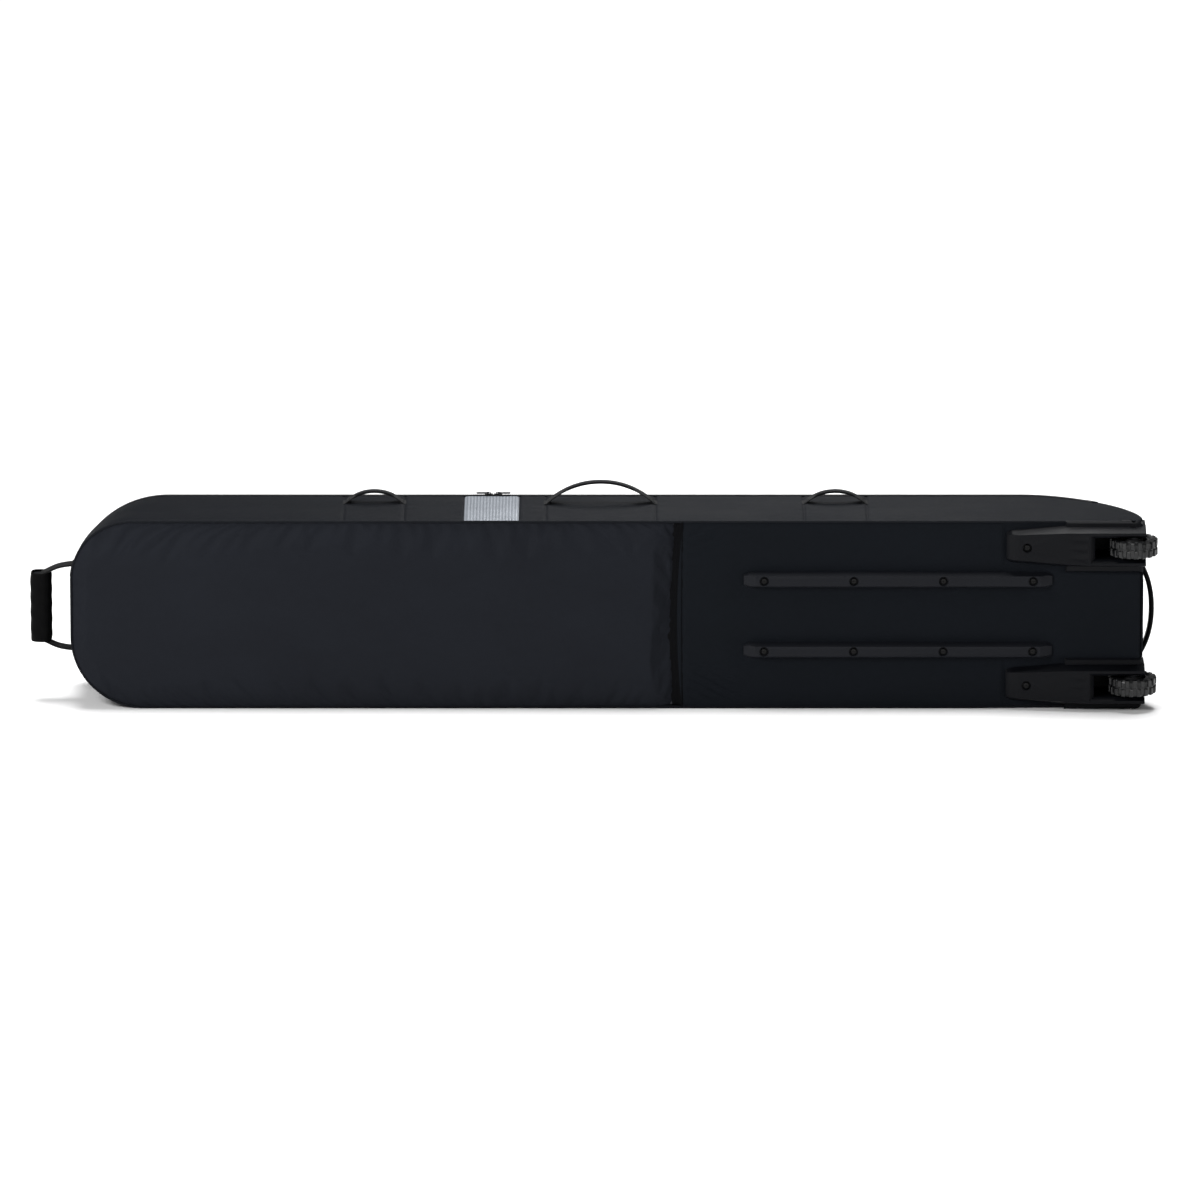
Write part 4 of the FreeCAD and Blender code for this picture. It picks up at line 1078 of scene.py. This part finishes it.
def grip_wrap(far, y, low, high):
    """A padded wrap that goes a little more than once round the webbing, over a foam core."""
    count = 90
    squareness = 2.6
    turns = np.linspace(0, 2 * math.pi * 1.06, count)
    heights = np.concatenate([
        [low - 0.2 * MM, low + 1.2 * MM], np.linspace(low + 4 * MM, high - 4 * MM, 30),
        [high - 1.2 * MM, high + 0.2 * MM],
    ])
    outer = np.zeros((len(heights), count, 3))
    inner = np.zeros_like(outer)
    for i, h in enumerate(heights):
        edge = min(h - low, high - h)
        taper = 1.0 * MM * math.exp(-max(edge, 0) / (3 * MM))
        for j, a in enumerate(turns):
            overlap = 2.4 * MM * j / count
            rx = 15.4 * MM + overlap - taper
            ry = 16.4 * MM + overlap - taper
            ripple_r = 0.35 * MM * math.sin(h * 260 + 3 * a)
            c = math.cos(a + 0.5)
            s = math.sin(a + 0.5)
            shape = (abs(c) ** squareness + abs(s) ** squareness) ** (-1 / squareness)
            outer[i, j] = (far + (rx + ripple_r) * shape * c, y + (ry + ripple_r) * shape * s, h)
            inner[i, j] = (far + (rx - 2.3 * MM) * shape * c, y + (ry - 2.3 * MM) * shape * s, h)
    wrap = slab("tip_handle_wrap", outer, inner)
    place(wrap, WRAP_CLOTH, "tip_handle", "grip_wrap", ["tip_handle_grip"])
    core_line = [(far, y, h) for h in np.linspace(low + 3 * MM, high - 3 * MM, 12)]
    core = sweep("tip_handle_foam_core", core_line, 27 * MM, 24 * MM, sides=20, power=0.8)
    place(core, PIPE_CLOTH, "tip_handle", "grip_wrap")


def wheel_end_handle():
    low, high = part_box("wheel_end_handle")
    anchor_low, anchor_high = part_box("wheel_end_handle_anchors")
    y = (low.y + high.y) / 2
    half = (anchor_high.z - anchor_low.z) / 2
    wall = float(np.interp(y, LINE_Y[::-1][1:], LINE_X[::-1][1:]))
    rise = high.x - wall
    t = np.linspace(-1, 1, 61)
    bow = (1 - np.abs(t) ** 2.2) ** 0.9
    path = np.stack([wall - 1 * MM + (rise - 2.6 * MM) * bow, np.full_like(t, y), MID_Z + half * t], 1)
    thick = 7.0 * MM + 1.4 * MM * (1 - t ** 2)
    width = 23 * MM - 3 * MM * (1 - t ** 2)
    grip = sweep("wheel_end_grip", path, width, thick, sides=18, power=0.7)
    place_bent(grip, HANDLE_SKIN, ["wheel_end_handle"])
    pads = []
    for side in (1, -1):
        z = MID_Z + side * (half - 3 * MM)
        reach = ((3.0, -14), (2.4, 0), (2.0, 9))
        line = [(wall + out * MM, y, z + side * along * MM) for out, along in reach]
        pads.append(sweep("pad", smooth_path(line, 9), 26 * MM, 2.6 * MM, (0.3, 1, 0)))
    pads = join("wheel_end_handle_pads", pads)
    place(pads, HANDLE_SKIN, "bag", "handle_rubber", ["wheel_end_handle_anchors"])


# ---- lid pocket ----
def lid_pocket():
    low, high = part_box("lid_pocket_panel")
    x, z = np.meshgrid(low.x + (high.x - low.x) * eased(120, 0.6), low.z + (high.z - low.z) * eased(56, 0.6))
    rim = np.minimum(np.minimum(x - low.x, high.x - x), np.minimum(z - low.z, high.z - z))
    rise = swell(rim, 2.2 * MM, 6 * MM) + swell(rim, 2.4 * MM, 50 * MM)
    rise += 0.5 * MM * ripple(x, z * 1.2, 120 * MM, 81) * ramp(rim, 20 * MM)
    rise -= 0.9 * MM * bump(rim - 6 * MM, 1.6 * MM)
    front = np.stack([x, low.y + 0.8 * MM + rise, z], 2)
    back = np.stack([x, np.full_like(x, low.y + 0.05 * MM), z], 2)
    place(slab("lid_pocket_cloth", front, back), LID_CLOTH, "lid", "lid_fabric", ["lid_pocket_panel"])
    t_low, t_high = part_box("pocket_zipper_tape")
    middle = (t_low.z + t_high.z) / 2
    line = [(v, t_low.y + 0.75 * MM, middle) for v in np.linspace(t_low.x, t_high.x, 60)]
    tape = sweep("pocket_zip_tape_weave", line, t_high.z - t_low.z, 1.4 * MM, (0, 0, 1), sides=10)
    place(tape, ZIP_TAPE, "lid", "zip_tape", ["pocket_zipper_tape"])
    teeth = []
    for index, v in enumerate(np.arange(t_low.x + 3 * MM, t_high.x - 3 * MM, 1.6 * MM)):
        teeth.append((v, t_low.y + 1.4 * MM, middle + 0.8 * MM * (1 if index % 2 else -1)))
    place(studs("pocket_zip_teeth", teeth, (0.6 * MM, 0.7 * MM, 1.3 * MM)), ZIP_COIL, "lid", "zip_tape")


def studs(name, centres, half):
    """Small blocks with bevelled tops."""
    verts = []
    faces = []
    for cx, cy, cz in centres:
        faces += block_faces(len(verts))
        for dy, shrink in ((-half[1], 1.0), (half[1], 0.6)):
            for a, b in CORNERS:
                verts.append((cx + a * half[0] * shrink, cy + dy, cz + b * half[2] * shrink))
    return add_object(name, verts, faces)


# ---- hard parts ----
def hard_parts():
    for end in ("upper", "lower"):
        for node, name, bevel, material, body, slot in (
            ("wheel_housing_", "housing_X_moulding", (0.9 * MM, 3, 28), HOUSING, "bag", "housing_plastic"),
            ("skid_rail_", "rail_X_moulding", (1.0 * MM, 3, 12), RAIL, "bag", "rail_plastic"),
            ("tyre_", "tyre_X_tread", (0.7 * MM, 2, 25), TYRE, "wheel_" + end, "tyre_rubber"),
        ):
            part = bevelled(node + end, name.replace("X", end), *bevel)
            place(part, material, body, slot, [node + end])
    kept = {
        HUB: ["hub_upper", "hub_lower"],
        BOARD: ["base_board"],
        LINING: ["base_foam"],
        STRAP: ["tie_down_hook_straps", "tie_down_loop_straps"],
        SCREW: ["rail_screws", "housing_screws"],
        BLACK_METAL: [
            "zip_slider_tip", "zip_slider_wheel", "zip_pull_tip", "zip_pull_wheel",
            "pocket_slider", "pocket_pull",
        ],
        STEEL: [
            "rail_washers", "rail_nuts", "housing_washers", "housing_nuts", "axle_upper", "axle_lower",
            "axle_nuts", "axle_spacers", "bearings_upper", "bearings_lower",
        ],
    }
    for material, names in kept.items():
        for name in names:
            for material_slot in nodes[name].material_slots:
                material_slot.material = material


# ---- studio ----
def studio():
    size = 60.0
    floor = add_object("floor", [(a * size, b * size, 0) for a, b in CORNERS], [(0, 1, 2, 3)])
    floor.data.materials.append(plain_floor("floor_white"))
    world = bpy.data.worlds.new("studio")
    bpy.context.scene.world = world
    world.use_nodes = True
    background = world.node_tree.nodes["Background"]
    background.inputs["Color"].default_value = (1, 1, 1, 1)
    background.inputs["Strength"].default_value = 0.16
    sun = bpy.data.lights.new("overhead", "SUN")
    sun.energy = 3.0
    sun.angle = math.radians(24)
    link("overhead", sun).rotation_euler = (math.radians(-5), 0, 0)
    for name, spot, energy, width in (
        ("key", (-2.0, -2.3, 1.9), 80, 1.0), ("fill", (2.2, -2.2, 1.2), 6, 1.0),
        ("back", (0.3, 1.0, 1.5), 20, 0.9),
    ):
        data = bpy.data.lights.new(name, "AREA")
        data.shape = "SQUARE"
        data.size = width
        data.energy = energy
        light = link(name, data)
        light.location = spot
        aim = Vector((0, 0, 0.1)) - Vector(spot)
        light.rotation_euler = aim.to_track_quat("-Z", "Y").to_euler()


def camera():
    elevation = math.radians(14.0)
    distance = 20.0
    aim = Vector((-10 * MM, UNDER, 175.4 * MM))
    seen_width = 1.879
    sensor = 36
    data = bpy.data.cameras.new("camera")
    data.sensor_width = sensor
    data.lens = sensor * distance / seen_width
    eye = link("camera", data)
    direction = Vector((0, math.cos(elevation), -math.sin(elevation)))
    eye.location = aim - direction * distance
    eye.rotation_euler = direction.to_track_quat("-Z", "Y").to_euler()
    bpy.context.scene.camera = eye
    bpy.context.scene.view_settings.view_transform = "Standard"


camera()
studio()
tip_underside()
fold_strip()
wheel_underside()
side_walls()
lid()
lid_end_flap()
lid_hinge()
wheel_end()
piping()
zip_tapes()
zip_teeth()
for place_name, first in (("tip", 0), ("mid", 2), ("wheel", 4)):
    side_handle("side_handle_" + place_name, "handle_" + place_name + "_side", *SEAMS[first:first + 2])
handle_tabs()
tip_handle()
wheel_end_handle()
lid_pocket()
hard_parts()
